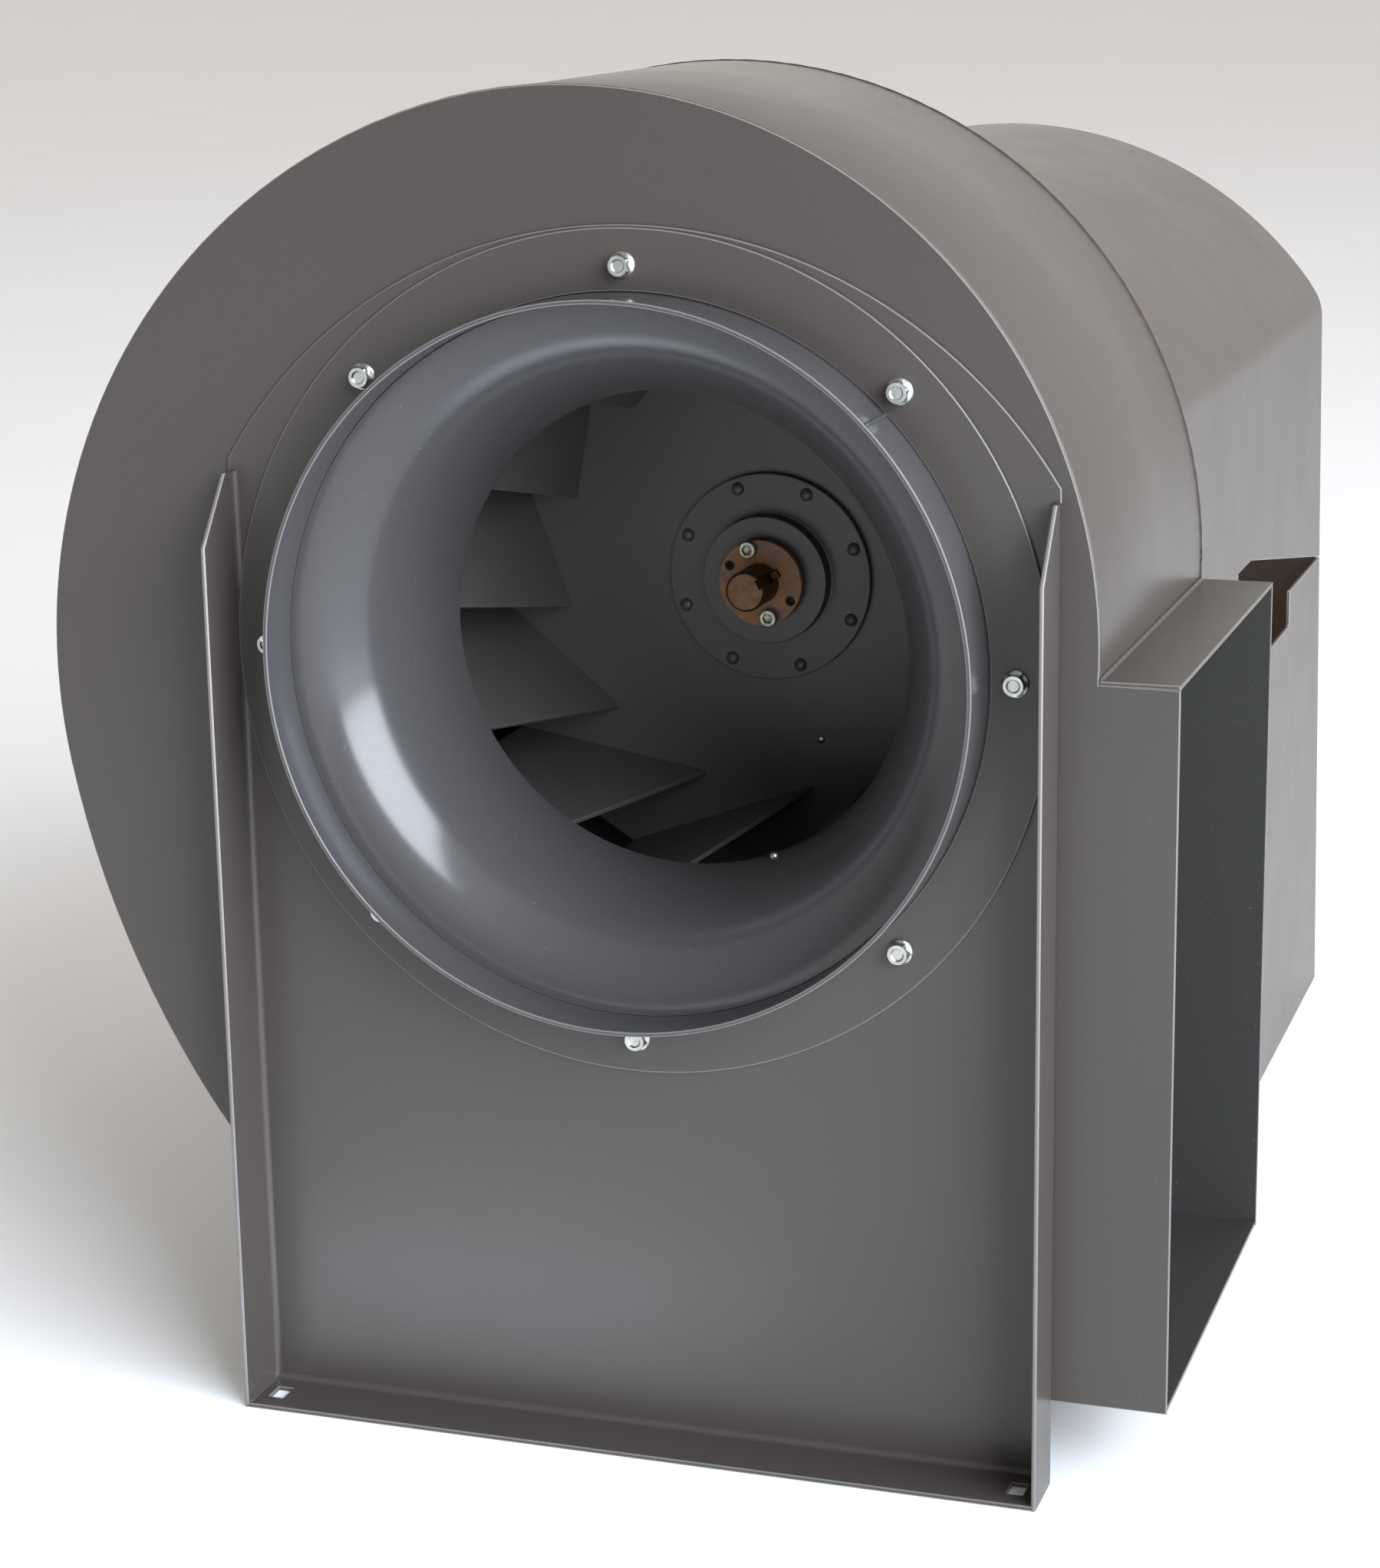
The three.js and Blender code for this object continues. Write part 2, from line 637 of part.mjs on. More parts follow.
function motorSlideBase() {
  const { halfWidth: half, railFronts, railWidth, tieX } = slideBase;
  const rails = railFronts.map((y) => block([-half, half], [y, y + railWidth], [shelf.top, baseTop]));
  const along = [railFronts[0] + 10, railFronts[1] + railWidth - 10];
  const ties = [-tieX, tieX].map((x) => block([x - 8, x + 8], along, [shelf.top, shelf.top + 10]));
  return piece("motor_slide_base", joined(...rails, ...ties), castIron);
}

function motorFrame() {
  const { radius, front, rear, height, shaftRadius } = motor;
  const body = turned([
    [shaftRadius + 0.6, front], [radius - 8, front], [radius, front + 8], [radius, rear - 30],
    [radius - 18, rear - 8], [34, rear], [shaftRadius + 0.6, rear],
  ], 40).translate(0, 0, height);
  const feet = [-1, 1].map((side) => {
    const x = side > 0 ? [62, 104] : [-104, -62];
    return block(x, [baseMiddle - 83, baseMiddle + 83], [baseTop, baseTop + 12]);
  });
  const webs = [-76, 76].map((x) =>
    block([x - 7, x + 7], [baseMiddle - 73, baseMiddle + 73], [baseTop, height - 40]));
  return piece("motor_frame", joined(body, ...feet, ...webs), motorEnamel);
}

function motorCowl() {
  const { radius, front, height } = motor;
  const back = front - motor.cowlDepth;
  const edge = front - fitGap;
  const profile = [
    [0, back], [radius - 6, back], [radius, back + 6], [radius, edge], [radius - 3, edge],
    [radius - 3, back + 7], [radius - 7, back + 3], [0, back + 3],
  ];
  return piece("motor_cowl", turned(profile, 40).translate(0, 0, height), motorEnamel);
}

function terminalBox() {
  const { radius, height } = motor;
  const box = block([-radius - 46, -radius - fitGap], [690, 765], [height - 32, height + 32]);
  return piece("terminal_box", box, motorEnamel);
}

function motorShaft() {
  const { shaftRadius, shaftEnd } = motor;
  const front = motor.front + 5;
  const profile = [[0, front], [shaftRadius, front], [shaftRadius, shaftEnd], [0, shaftEnd]];
  return piece("motor_shaft", turned(profile, 24), brightSteel);
}

// ---- Assembly ----------------------------------------------------------------------------

const inlet = [frontPedestal(), inletRing()];
const inletTurned = groupOf([inletCollar(), inletBell()], shaftHeight);
const housing = [scrollFrontPanel(), scrollRearPanel(), scrollWrap(), cutoffLip()];
const driveHousing = [
  driveFrontPlate(), driveRearPlate(), sidePanel("side_panel_left", -1), sidePanel("side_panel_right", 1),
  driveHood(), bearingPedestal(), ...pillowBlocks(), vBelt(),
];
const motorParts = [motorShelf(), motorSlideBase(), motorFrame(), motorCowl(), terminalBox()];
const rotor = groupOf([
  backplate(), wheelShroud(), ...wheelBlades(), wheelHub(), taperBushing(),
  capScrew("cap_screw_1", bushing.screwAngle), capScrew("cap_screw_2", bushing.screwAngle + 180),
  fanShaft(), shaftKey(), bearingInner("bearing_inner_front", bearing.front),
  bearingInner("bearing_inner_rear", bearing.rear), sheave("fan_sheave", fanSheave, shaft.radius + fitGap),
], shaftHeight);
const motorRotor = groupOf([
  motorShaft(), sheave("motor_sheave", motorSheave, motor.shaftRadius + fitGap),
], motor.height);

const fan = new THREE.Group();
fan.add(...inlet, inletTurned, inletBolts(), ...housing, ...driveHousing, ...motorParts, rotor, motorRotor);

export default fan;
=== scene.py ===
"""Looks of the combustion fan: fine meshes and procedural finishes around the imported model.

Metres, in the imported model's frame: +X to the outlet side, +Y from the inlet into the fan, +Z up,
with the shaft's axis along Y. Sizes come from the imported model's boxes where they can, and from
the named values below where a box doesn't give them.
"""

import json
import math

import bmesh
import bpy
from mathutils import Matrix, Vector


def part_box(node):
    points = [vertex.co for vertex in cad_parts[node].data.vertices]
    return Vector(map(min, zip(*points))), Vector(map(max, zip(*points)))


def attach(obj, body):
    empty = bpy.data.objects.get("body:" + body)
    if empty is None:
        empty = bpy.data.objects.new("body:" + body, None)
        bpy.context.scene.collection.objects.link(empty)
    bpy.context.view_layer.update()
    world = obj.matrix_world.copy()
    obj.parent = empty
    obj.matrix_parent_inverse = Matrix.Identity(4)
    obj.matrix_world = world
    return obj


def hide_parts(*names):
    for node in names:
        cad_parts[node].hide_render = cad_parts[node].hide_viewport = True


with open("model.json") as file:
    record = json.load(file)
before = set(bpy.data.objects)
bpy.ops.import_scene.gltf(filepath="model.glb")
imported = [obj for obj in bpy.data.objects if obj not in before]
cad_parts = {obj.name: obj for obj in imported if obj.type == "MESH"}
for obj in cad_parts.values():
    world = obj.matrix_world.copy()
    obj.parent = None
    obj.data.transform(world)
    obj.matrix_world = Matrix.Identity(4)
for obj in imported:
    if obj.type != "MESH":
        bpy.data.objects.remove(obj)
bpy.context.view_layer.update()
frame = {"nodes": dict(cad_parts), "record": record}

# ---- Sizes ---------------------------------------------------------------------------------

MM = 0.001
SHEET = 3 * MM
EDGE = 0.8 * MM  # rounding of a cut sheet edge
THIN_EDGE = 0.3 * MM  # rounding of a spun or rolled sheet's edge
FIT = 0.3 * MM  # gap between parts that sit in each other
FORWARD = (0, -1, 0)

RECORD = frame["record"]
BODY_OF = {node: body for body, nodes in RECORD["behaviour"]["bodies"].items() for node in nodes}
SLOT_OF = {part["node"]: part["material_slot"] for part in RECORD["subparts"]}

HALF_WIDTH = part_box("front_pedestal")[1].x
ARCH_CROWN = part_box("front_pedestal")[1].z
ARCH_SPRING = 651 * MM
SHOULDER = ARCH_SPRING - 8 * MM  # height where the pedestal's side flanges end

RING_LOW, RING_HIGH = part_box("inlet_ring")
SHAFT_Z = (RING_LOW.z + RING_HIGH.z) / 2
RING_RADIUS = (RING_HIGH.x - RING_LOW.x) / 2
RING_FACE = RING_LOW.y
COLLAR_LOW, COLLAR_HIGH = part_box("inlet_collar")
COLLAR_RADIUS = (COLLAR_HIGH.x - COLLAR_LOW.x) / 2
COLLAR_RIM = COLLAR_LOW.y
BELL_LIP, BELL_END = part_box("inlet_bell")[0].y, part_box("inlet_bell")[1].y
THROAT_RADIUS = 162 * MM
THROAT_Y = BELL_END - 8 * MM
BELL_WALL = 2 * MM
COLLAR_WELD_ANGLE = 44
THROAT_BOLT_ANGLE = -66.5
BOLT_CIRCLE = 251.4 * MM
BOLT_COUNT = 8
BOLT_FLATS = 13 * MM
BOLT_FLANGE = 8.7 * MM
BOLT_HEAD = 8 * MM
BOLT_TURN = 17  # degrees from each bolt's hexagon to the next one's, as if tightened by hand

SCROLL_LOW, SCROLL_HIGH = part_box("scroll_front_panel")
OUTLET_X = SCROLL_HIGH.x
OUTLET_FLOOR = SCROLL_LOW.z
BELL_HOLE = 240 * MM
BELL_HOLE_STEPS = 160
SHAFT_HOLE = 48 * MM
LET_IN = 0.6 * MM  # how far the wrap lies behind the edges of the panels
# The scroll's edge is four arcs, each tangent to the next: the first centre from the shaft, the
# first three radii, and the angles where the arcs start and end.
SCROLL_CENTRE = (-41 * MM, 18 * MM)
SCROLL_RADII = (343 * MM, 387 * MM, 630 * MM)
SCROLL_ANGLES = (-3, 107, 190, 213, 270)

WHEEL_LOW, WHEEL_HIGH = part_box("wheel_backplate")
WHEEL_RADIUS = (WHEEL_HIGH.x - WHEEL_LOW.x) / 2
SHROUD_LOW, SHROUD_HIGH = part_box("wheel_shroud")
SHROUD_EYE = 167 * MM
SHROUD_THICK = 2.5 * MM
HUB_FRONT, HUB_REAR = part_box("wheel_hub")[0].y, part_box("wheel_hub")[1].y
HUB_RADIUS = 46 * MM
HUB_TAPER = (20.9 * MM, 18.9 * MM)  # radii of its bore at the front and the rear
HUB_FLANGE_RADIUS = 75 * MM
HUB_FLANGE_FRONT = WHEEL_LOW.y - 6 * MM
HUB_PILOT_RADIUS = 44 * MM  # the end that stands in the backplate's hole
BACKPLATE_BORE = 46 * MM
RIVET_COUNT = 8
RIVET_CIRCLE = 67 * MM
RIVET_FIRST_ANGLE = -70
RIVET_RADIUS, RIVET_HEIGHT = 4.8 * MM, 3.4 * MM
BALANCE_RIVET_CIRCLE = 124 * MM
BALANCE_RIVET_ANGLE = -73
BUSHING_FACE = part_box("taper_bushing")[0].y
BUSHING_RADIUS = 31 * MM
BUSHING_FLANGE_END = BUSHING_FACE + 8 * MM
BUSHING_END = HUB_FRONT + 44 * MM
BARREL_BORE = 15 * MM  # behind the flange, a little wider than the shaft
SHAFT_RADIUS = 14.3 * MM
SCREW_CIRCLE = 25.4 * MM
SCREW_ANGLE = 107
SCREW_HEAD = 6 * MM
SOCKET_FLATS = 6.4 * MM
JACK_ANGLE = 152
FLANGE_HOLE_RADIUS = 4.1 * MM
KEY_ANGLE = 30
KEYWAY_HALF = 3.5 * MM
KEYWAY_TOP = 17.2 * MM  # height of the keyway's flat top over the shaft's axis
KEYWAY_REACH = 17.55 * MM  # distance of its two top corners from the axis

HOOD_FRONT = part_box("drive_hood")[0].y
HOOD_EDGE = (480.3 * MM, 416.3 * MM)  # heights of its lower edge, before and after it slopes
HOOD_SLOPE_Y = 702 * MM
REAR_AT_SPRING = 1050 * MM
REAR_SLOPE = 0.12
HOOD_BEND = 14 * MM  # length of the soft bend at each spring of its arch


def rear_at(z):
    """Place in Y of the drive housing's leaning rear, at height z."""
    return REAR_AT_SPRING + REAR_SLOPE * (ARCH_SPRING - z)


# ---- Outlines ------------------------------------------------------------------------------


def polar(radius, degrees, x=0.0, z=0.0):
    """A point (x, z) at that angle, from +X towards +Z."""
    turn = math.radians(degrees)
    return (x + radius * math.cos(turn), z + radius * math.sin(turn))


def arc(radius, start, end, steps, x=0.0, z=0.0):
    """Points on a circle about (x, z), from one angle to another."""
    return [polar(radius, start + (end - start) * i / steps, x, z) for i in range(steps + 1)]


def circle(radius, steps, x=0.0, z=0.0):
    """Points all the way round a circle about (x, z)."""
    return arc(radius, 0, 360, steps, x, z)[:-1]


def scroll_edge(inset=0.0, degrees_per_step=2.0):
    """The scroll's edge from the cut-off, over the top and round to the outlet floor."""
    x, z = SCROLL_CENTRE[0], SHAFT_Z + SCROLL_CENTRE[1]
    points = []
    last = None
    for i, (start, end) in enumerate(zip(SCROLL_ANGLES, SCROLL_ANGLES[1:])):
        across, along = polar(1, start)
        if last is None:
            radius = SCROLL_RADII[0]
        else:
            reach = (z + last * along - OUTLET_FLOOR) / (1 + along)
            radius = SCROLL_RADII[i] if i < len(SCROLL_RADII) else reach
            x, z = x + (last - radius) * across, z + (last - radius) * along
        steps = math.ceil((end - start) / degrees_per_step)
        points += arc(radius - inset, start, end, steps, x, z)[1 if points else 0 :]
        last = radius
    return points


def arch_edge(inset=0.0, steps=48):
    """The arch of the pedestals and the hood, from its right spring to its left."""
    rise = ARCH_CROWN - ARCH_SPRING
    radius = (HALF_WIDTH**2 + rise**2) / (2 * rise)
    centre = ARCH_CROWN - radius
    spring = math.degrees(math.acos((HALF_WIDTH - inset) / (radius - inset)))
    return arc(radius - inset, spring, 180 - spring, steps, 0, centre)


def soft_bend(start, corner, end, steps):
    """Points from start to end on a curve that bends towards the corner."""
    points = []
    for k in range(steps + 1):
        t = k / steps
        points.append(tuple(start * (1 - t) ** 2 + corner * (2 * t * (1 - t)) + end * t * t))
    return points


SHARP_CORNER = 30  # degrees; a corner that turns by less stays as it is
CORNER_STEPS = 3


def rounded(corners, radius):
    """A closed outline with its sharp corners rounded, and for each side whether it rounds one."""
    points, is_corner = [], []
    for i, corner in enumerate(corners):
        here = Vector(corner)
        back = Vector(corners[i - 1]) - here
        ahead = Vector(corners[(i + 1) % len(corners)]) - here
        if (-back).angle(ahead, 0) < math.radians(SHARP_CORNER):
            points.append(tuple(here))
            is_corner.append(False)
            continue
        reach = min(radius, 0.45 * back.length, 0.45 * ahead.length)  # bends on one side don't meet
        start, end = here + back.normalized() * reach, here + ahead.normalized() * reach
        points += soft_bend(start, here, end, CORNER_STEPS)
        is_corner += [True] * CORNER_STEPS + [False]
    return points, is_corner


def quarter_ellipse(centre, radial, axial, start, end, steps):
    """Points (radius, y) on an ellipse about the centre, from one angle to another."""
    r, y = centre
    return [(r + radial * out, y + axial * along) for out, along in arc(1, start, end, steps)]


def straight(start, end, steps):
    """Points along a straight line."""
    start, end = Vector(start), Vector(end)
    return [start.lerp(end, i / steps) for i in range(steps + 1)]


# ---- Meshes --------------------------------------------------------------------------------

LEAST_BEND = 0.8  # degrees; faces that turn by less are one flat face
SAME_POINT = 1e-6  # points nearer than this are one
EDGE_NORMALS = (0.08, 0.98)  # how much the normal of a rounded edge's face lies across its sheet

stood_for = set()  # CAD nodes that a finer piece stands for


def piece_from(name, build):
    """A new object whose mesh is the bmesh build."""
    bmesh.ops.remove_doubles(build, verts=build.verts, dist=SAME_POINT)
    bmesh.ops.recalc_face_normals(build, faces=build.faces)
    mesh = bpy.data.meshes.new(name)
    build.to_mesh(mesh)
    build.free()
    piece = bpy.data.objects.new(name, mesh)
    bpy.context.scene.collection.objects.link(piece)
    return piece


def smooth(piece, degrees=31):
    """Smooth shading where faces turn by less than degrees, and flat faces kept flat.

    A flat face has no bend to a face of its own finish, so the rounding beside it doesn't shade it.
    """
    piece.data.set_sharp_from_angle(angle=math.radians(degrees))
    build = bmesh.new()
    build.from_mesh(piece.data)
    for face in build.faces:
        bends = [
            math.degrees(edge.calc_face_angle(0))
            for edge in face.edges
            if len({near.material_index for near in edge.link_faces}) == 1
        ]
        face.smooth = any(LEAST_BEND < bend < degrees for bend in bends)
    build.to_mesh(piece.data)
    build.free()


def complete(piece, node, degrees=31, standing_for=()):
    """Gives the piece its node's finish and shading, and lets it stand for the node."""
    slot = SLOT_OF[node]
    finish = FINISH[slot]
    finishes = piece.data.materials
    while len(finishes) < 2:
        finishes.append(None)
    finishes[0] = finish
    # The rounded edges take the lighter edge finish: wear and a painted highlight.
    finishes[1] = EDGE_OF.get(slot, finish)
    smooth(piece, degrees)
    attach(piece, BODY_OF[node])
    if standing_for:
        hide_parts(*standing_for)
        stood_for.update(standing_for)
    return piece


def paint_shade_inside(piece, is_inside):
    """Gives the faces that the test picks the scroll's inside finish: rougher, and painted far
    darker as the shade inside the duct.
    """
    piece.data.materials.append(INSIDE_PAINTED_SHADE)
    for face in piece.data.polygons:
        if is_inside(face):
            face.material_index = 2


def apply_modifiers(piece):
    """Replaces the piece's mesh by what its modifiers make of it."""
    graph = bpy.context.evaluated_depsgraph_get()
    mesh = bpy.data.meshes.new_from_object(piece.evaluated_get(graph))
    piece.modifiers.clear()
    piece.data = mesh


def round_edges(piece, degrees=35):
    """Rounds the edges that turn by more than degrees, and gives them the lighter edge finish: wear
    and a painted highlight.
    """
    piece.data.materials.append(None)
    piece.data.materials.append(None)
    bevel = piece.modifiers.new("round", "BEVEL")
    bevel.width = EDGE
    bevel.segments = 2
    bevel.limit_method = "ANGLE"
    bevel.angle_limit = math.radians(degrees)
    bevel.material = 1
    apply_modifiers(piece)


def refined(node):
    """A fine piece for a CAD node: its own shape, with flat faces joined and edges rounded."""
    build = bmesh.new()
    build.from_mesh(frame["nodes"][node].data)
    bmesh.ops.remove_doubles(build, verts=build.verts, dist=SAME_POINT)
    joined = math.radians(1)
    bmesh.ops.dissolve_limit(build, angle_limit=joined, verts=build.verts, edges=build.edges)
    piece = piece_from(f"{node}_fine", build)
    round_edges(piece)
    return complete(piece, node, standing_for=[node])


def tube(build, rings, flags=None, loop=False):
    """Joins closed rings of points by quads; the ends are capped, or joined to each other."""
    rows = [[build.verts.new(point) for point in ring] for ring in rings]
    count = len(rings[0])
    for i in range(len(rows) if loop else len(rows) - 1):
        here, there = rows[i], rows[(i + 1) % len(rows)]
        for k in range(count):
            k2 = (k + 1) % count
            face = build.faces.new((here[k], here[k2], there[k2], there[k]))
            face.material_index = 1 if flags and flags[k] else 0
    if not loop:
        build.faces.new(rows[0])
        build.faces.new(list(reversed(rows[-1])))


def turned(name, node, corners, radius=EDGE, segments=192, standing_for=()):
    """A solid turned about the shaft's axis from (radius, y) corners, its edges rounded."""
    profile, flags = rounded(corners, radius)
    build = bmesh.new()
    rings = []
    for i in range(segments):
        across, up = polar(1, 360 * i / segments)
        rings.append([(r * across, y, SHAFT_Z + r * up) for r, y in profile])
    tube(build, rings, flags, loop=True)
    return complete(piece_from(name, build), node, standing_for=standing_for)


def filled_sheet(name, loops, thickness, edge):
    """The mesh of a flat sheet filled between closed loops of (x, y), its cut edges rounded."""
    data = bpy.data.curves.new(name, "CURVE")
    data.dimensions = "2D"
    data.fill_mode = "BOTH"
    data.extrude = thickness / 2 - edge
    data.bevel_depth = edge
    data.bevel_resolution = 1
    for loop in loops:
        spline = data.splines.new("POLY")
        spline.points.add(len(loop) - 1)
        spline.use_cyclic_u = True
        for point, (x, y) in zip(spline.points, loop):
            point.co = (x, y, 0, 1)
    drawn = bpy.data.objects.new(name, data)
    bpy.context.scene.collection.objects.link(drawn)
    graph = bpy.context.evaluated_depsgraph_get()
    mesh = bpy.data.meshes.new_from_object(drawn.evaluated_get(graph))
    bpy.data.objects.remove(drawn)
    bpy.data.curves.remove(data)
    return mesh


def plate(name, outline, holes, low, high, edge=EDGE, level=False):
    """A flat plate between low and high in Y, from loops of (x, z), its cut edges rounded.

    The loops are drawn inside the plate's full size by the rounding. A level plate lies between
    low and high in Z instead, from loops of (x, y).
    """
    mesh = filled_sheet(name, (outline, *holes), high - low, edge)
    build = bmesh.new()
    build.from_mesh(mesh)
    bpy.data.meshes.remove(mesh)
    for vert in build.verts:
        x, up, depth = vert.co
        depth += (low + high) / 2
        vert.co = (x, up, depth) if level else (x, depth, up)
    bmesh.ops.remove_doubles(build, verts=build.verts, dist=SAME_POINT)
    build.normal_update()
    across = 2 if level else 1
    least, most = EDGE_NORMALS
    # Faces of the rounded cut edges take index 1, the lighter edge finish of wear and painted
    # highlight.
    for face in build.faces:
        face.material_index = 1 if least < abs(face.normal[across]) < most else 0
    return piece_from(name, build)


def merge(name, pieces):
    """One object from several, keeping their material indices."""
    build = bmesh.new()
    for piece in pieces:
        mesh = piece.data
        build.from_mesh(mesh)
        bpy.data.objects.remove(piece)
        bpy.data.meshes.remove(mesh)
    mesh = bpy.data.meshes.new(name)
    build.to_mesh(mesh)
    build.free()
    merged = bpy.data.objects.new(name, mesh)
    bpy.context.scene.collection.objects.link(merged)
    return merged


RIPPLE = 0.12  # height of a weld's ripples, as a share of its radius
RIPPLE_TURN = 2.1  # radians of a ripple from one point of the weld to the next
BEAD_END = 0.3  # size of a weld's end points, as a share of its radius


def bead(build, path, radius, sides=8):
    """A rippled weld bead along a path of points, thin at both ends."""
    rings = []
    for i, point in enumerate(path):
        ahead = Vector(path[min(i + 1, len(path) - 1)]) - Vector(path[max(i - 1, 0)])
        turn = ahead.to_track_quat("Z", "Y")
        size = radius * (1 + RIPPLE * math.sin(i * RIPPLE_TURN))
        if i in (0, len(path) - 1):
            size *= BEAD_END
        ring = [turn @ Vector((*spoke, 0)) for spoke in circle(size, sides)]
        rings.append([Vector(point) + offset for offset in ring])
    tube(build, rings)


def weld(name, node, path, radius, sides=8):
    """A weld bead that is a piece of its own, in the node's finish."""
    build = bmesh.new()
    bead(build, path, radius, sides)
    return complete(piece_from(name, build), node)


def domed(build, seat, facing, radius, height, sides=24):
    """A domed head on a seat, facing along a direction."""
    turn = Vector(facing).to_track_quat("Z", "Y")
    rings = []
    for degrees in (0, 15, 30, 45, 60, 75, 86):
        across, out = polar(1, degrees)
        ring = [(x, z, height * out) for x, z in circle(radius * across, sides)]
        rings.append([Vector(seat) + turn @ Vector(point) for point in ring])
    tube(build, rings)


def hexagon(flats, sides):
    """Distances from a hexagon's centre to its sides, at even angles all the way round."""
    angles = [360 * k / sides for k in range(sides)]
    return [flats / 2 / math.cos(math.radians((angle % 60) - 30)) for angle in angles]


def screw(node, place, levels, sides, turn=0):
    """A screw facing the inlet, that stands for its node.

    Each level is a place in Y and the distance out to the side there: one number, or a list all
    the way round.
    """
    rings = []
    for y, out in levels:
        reaches = out if isinstance(out, list) else [out] * sides
        ring = [polar(reach, 360 * k / sides + turn, *place) for k, reach in enumerate(reaches)]
        rings.append([(x, y, z) for x, z in ring])
    build = bmesh.new()
    tube(build, rings)
    return complete(piece_from(f"{node}_fine", build), node, 24, [node])


# ---- Front pedestal ------------------------------------------------------------------------

BEND = 4 * MM  # inside radius of a folded sheet
FOOT_DEPTH = -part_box("front_pedestal")[0].y
FLANGE_TAPER = 52 * MM  # height over which the side flanges get narrower
FLANGE_TIP = 5 * MM  # their depth at the top
SLOT_X = 261 * MM
SLOT_SIZE = (12 * MM, 18 * MM)
CORNER_WELD = 1.5 * MM


def folded(depth):
    """A fold's section: a quarter bend, then a flange to that depth, its tip rounded.

    Points are (out, back): out from the centre of the bend, back towards the flat sheet.
    """
    outer = arc(BEND + SHEET, 90, 0, 6)
    inner = arc(BEND, 0, 90, 6)
    reach = BEND - depth
    tip = [
        (BEND + SHEET, reach + EDGE),
        (BEND + SHEET - EDGE, reach),
        (BEND + EDGE, reach),
        (BEND, reach + EDGE),
    ]
    flags = [False] * len(outer) + [True] * (len(tip) - 1) + [False] * (len(inner) + 1)
    return outer + tip + inner, flags


def pedestal_sheet():
    """The arched plate, between the bends of its flanges."""
    inside = HALF_WIDTH - BEND - SHEET
    top = arch_edge(EDGE, 60)
    outline = [(-inside, BEND + SHEET), (inside, BEND + SHEET), (inside, SHOULDER)]
    outline += [(top[0][0], SHOULDER)] + top + [(top[-1][0], SHOULDER), (-inside, SHOULDER)]
    hole = circle(BELL_HOLE + EDGE, BELL_HOLE_STEPS, 0, SHAFT_Z)
    return plate("pedestal_sheet", outline, [hole], 0, SHEET)


def pedestal_folds():
    """The side flanges, the bend above the foot, and the welds in the two corners."""
    inside = HALF_WIDTH - BEND - SHEET
    build = bmesh.new()
    start = ARCH_SPRING - FLANGE_TAPER
    heights = [0, SHEET, start] + [start + (SHOULDER - start) * i / 6 for i in range(1, 7)]
    for side in (-1, 1):
        rings = []
        for z in heights:
            narrowing = max(0, z - start) / FLANGE_TAPER
            section, flags = folded(FOOT_DEPTH * (1 - narrowing) + FLANGE_TIP * narrowing)
            rings.append([(side * (inside + out), back - BEND, z) for out, back in section])
        tube(build, rings, flags)
    section = arc(BEND + SHEET, 90, 0, 6) + arc(BEND, 0, 90, 6)
    rings = []
    for x in (-HALF_WIDTH + SHEET / 2, HALF_WIDTH - SHEET / 2):
        rings.append([(x, back - BEND, BEND + SHEET - out) for back, out in section])
    tube(build, rings)
    for side in (-1, 1):
        corner = side * (HALF_WIDTH - SHEET)
        path = straight((corner, -BEND, SHEET), (corner, 2 * MM - FOOT_DEPTH, SHEET), 22)
        bead(build, path, CORNER_WELD)
    return piece_from("pedestal_folds", build)


def pedestal_foot():
    """The flat foot with its anchor slots."""
    wide, deep = SLOT_SIZE
    ends = [(-1, -1), (1, -1), (1, 1), (-1, 1)]
    slots = [
        [(side * SLOT_X + x * wide / 2, (y * deep - FOOT_DEPTH) / 2) for x, y in ends]
        for side in (-1, 1)
    ]
    edge = HALF_WIDTH - SHEET
    foot = [(-edge, EDGE - FOOT_DEPTH), (edge, EDGE - FOOT_DEPTH), (edge, -BEND), (-edge, -BEND)]
    return plate("pedestal_foot", foot, slots, 0, SHEET, level=True)


def make_pedestal():
    """The pedestal: an arched plate, its sides and foot folded forward, the corners welded."""
    pieces = [pedestal_sheet(), pedestal_folds(), pedestal_foot()]
    complete(merge("pedestal", pieces), "front_pedestal", standing_for=["front_pedestal"])


# ---- Inlet ---------------------------------------------------------------------------------


def make_collar():
    """The rolled collar, with the butt weld that closes its band."""
    inner = COLLAR_RADIUS - SHEET
    corners = [(inner, COLLAR_RIM), (COLLAR_RADIUS, COLLAR_RIM), (COLLAR_RADIUS, 0), (inner, 0)]
    turned("collar_band", "inlet_collar", corners, standing_for=["inlet_collar"])
    x, z = polar(COLLAR_RADIUS, COLLAR_WELD_ANGLE, 0, SHAFT_Z)
    path = straight((x, COLLAR_RIM + 2 * MM, z), (x, RING_FACE - 2 * MM, z), 26)
    weld("collar_weld", "inlet_collar", path, 1.6 * MM)


def make_ring():
    """The flat ring that the collar stands on."""
    inner = COLLAR_RADIUS + FIT
    corners = [(inner, RING_FACE), (RING_RADIUS, RING_FACE), (RING_RADIUS, 0), (inner, 0)]
    turned("ring_flange", "inlet_ring", corners, standing_for=["inlet_ring"])


def make_bell():
    """The spun bell: a quarter ellipse from the collar to the throat, and a short straight end."""
    centre = (COLLAR_RADIUS - SHEET - FIT, THROAT_Y)
    radial, axial = centre[0] - THROAT_RADIUS, THROAT_Y - BELL_LIP
    inside = quarter_ellipse(centre, radial, axial, 270, 180, 44)
    outside = quarter_ellipse(centre, radial - BELL_WALL, axial - BELL_WALL, 180, 270, 44)
    end = [(THROAT_RADIUS, BELL_END), (THROAT_RADIUS + BELL_WALL, BELL_END)]
    corners = inside + end + outside
    turned("bell_spinning", "inlet_bell", corners, THIN_EDGE, 256, ["inlet_bell"])


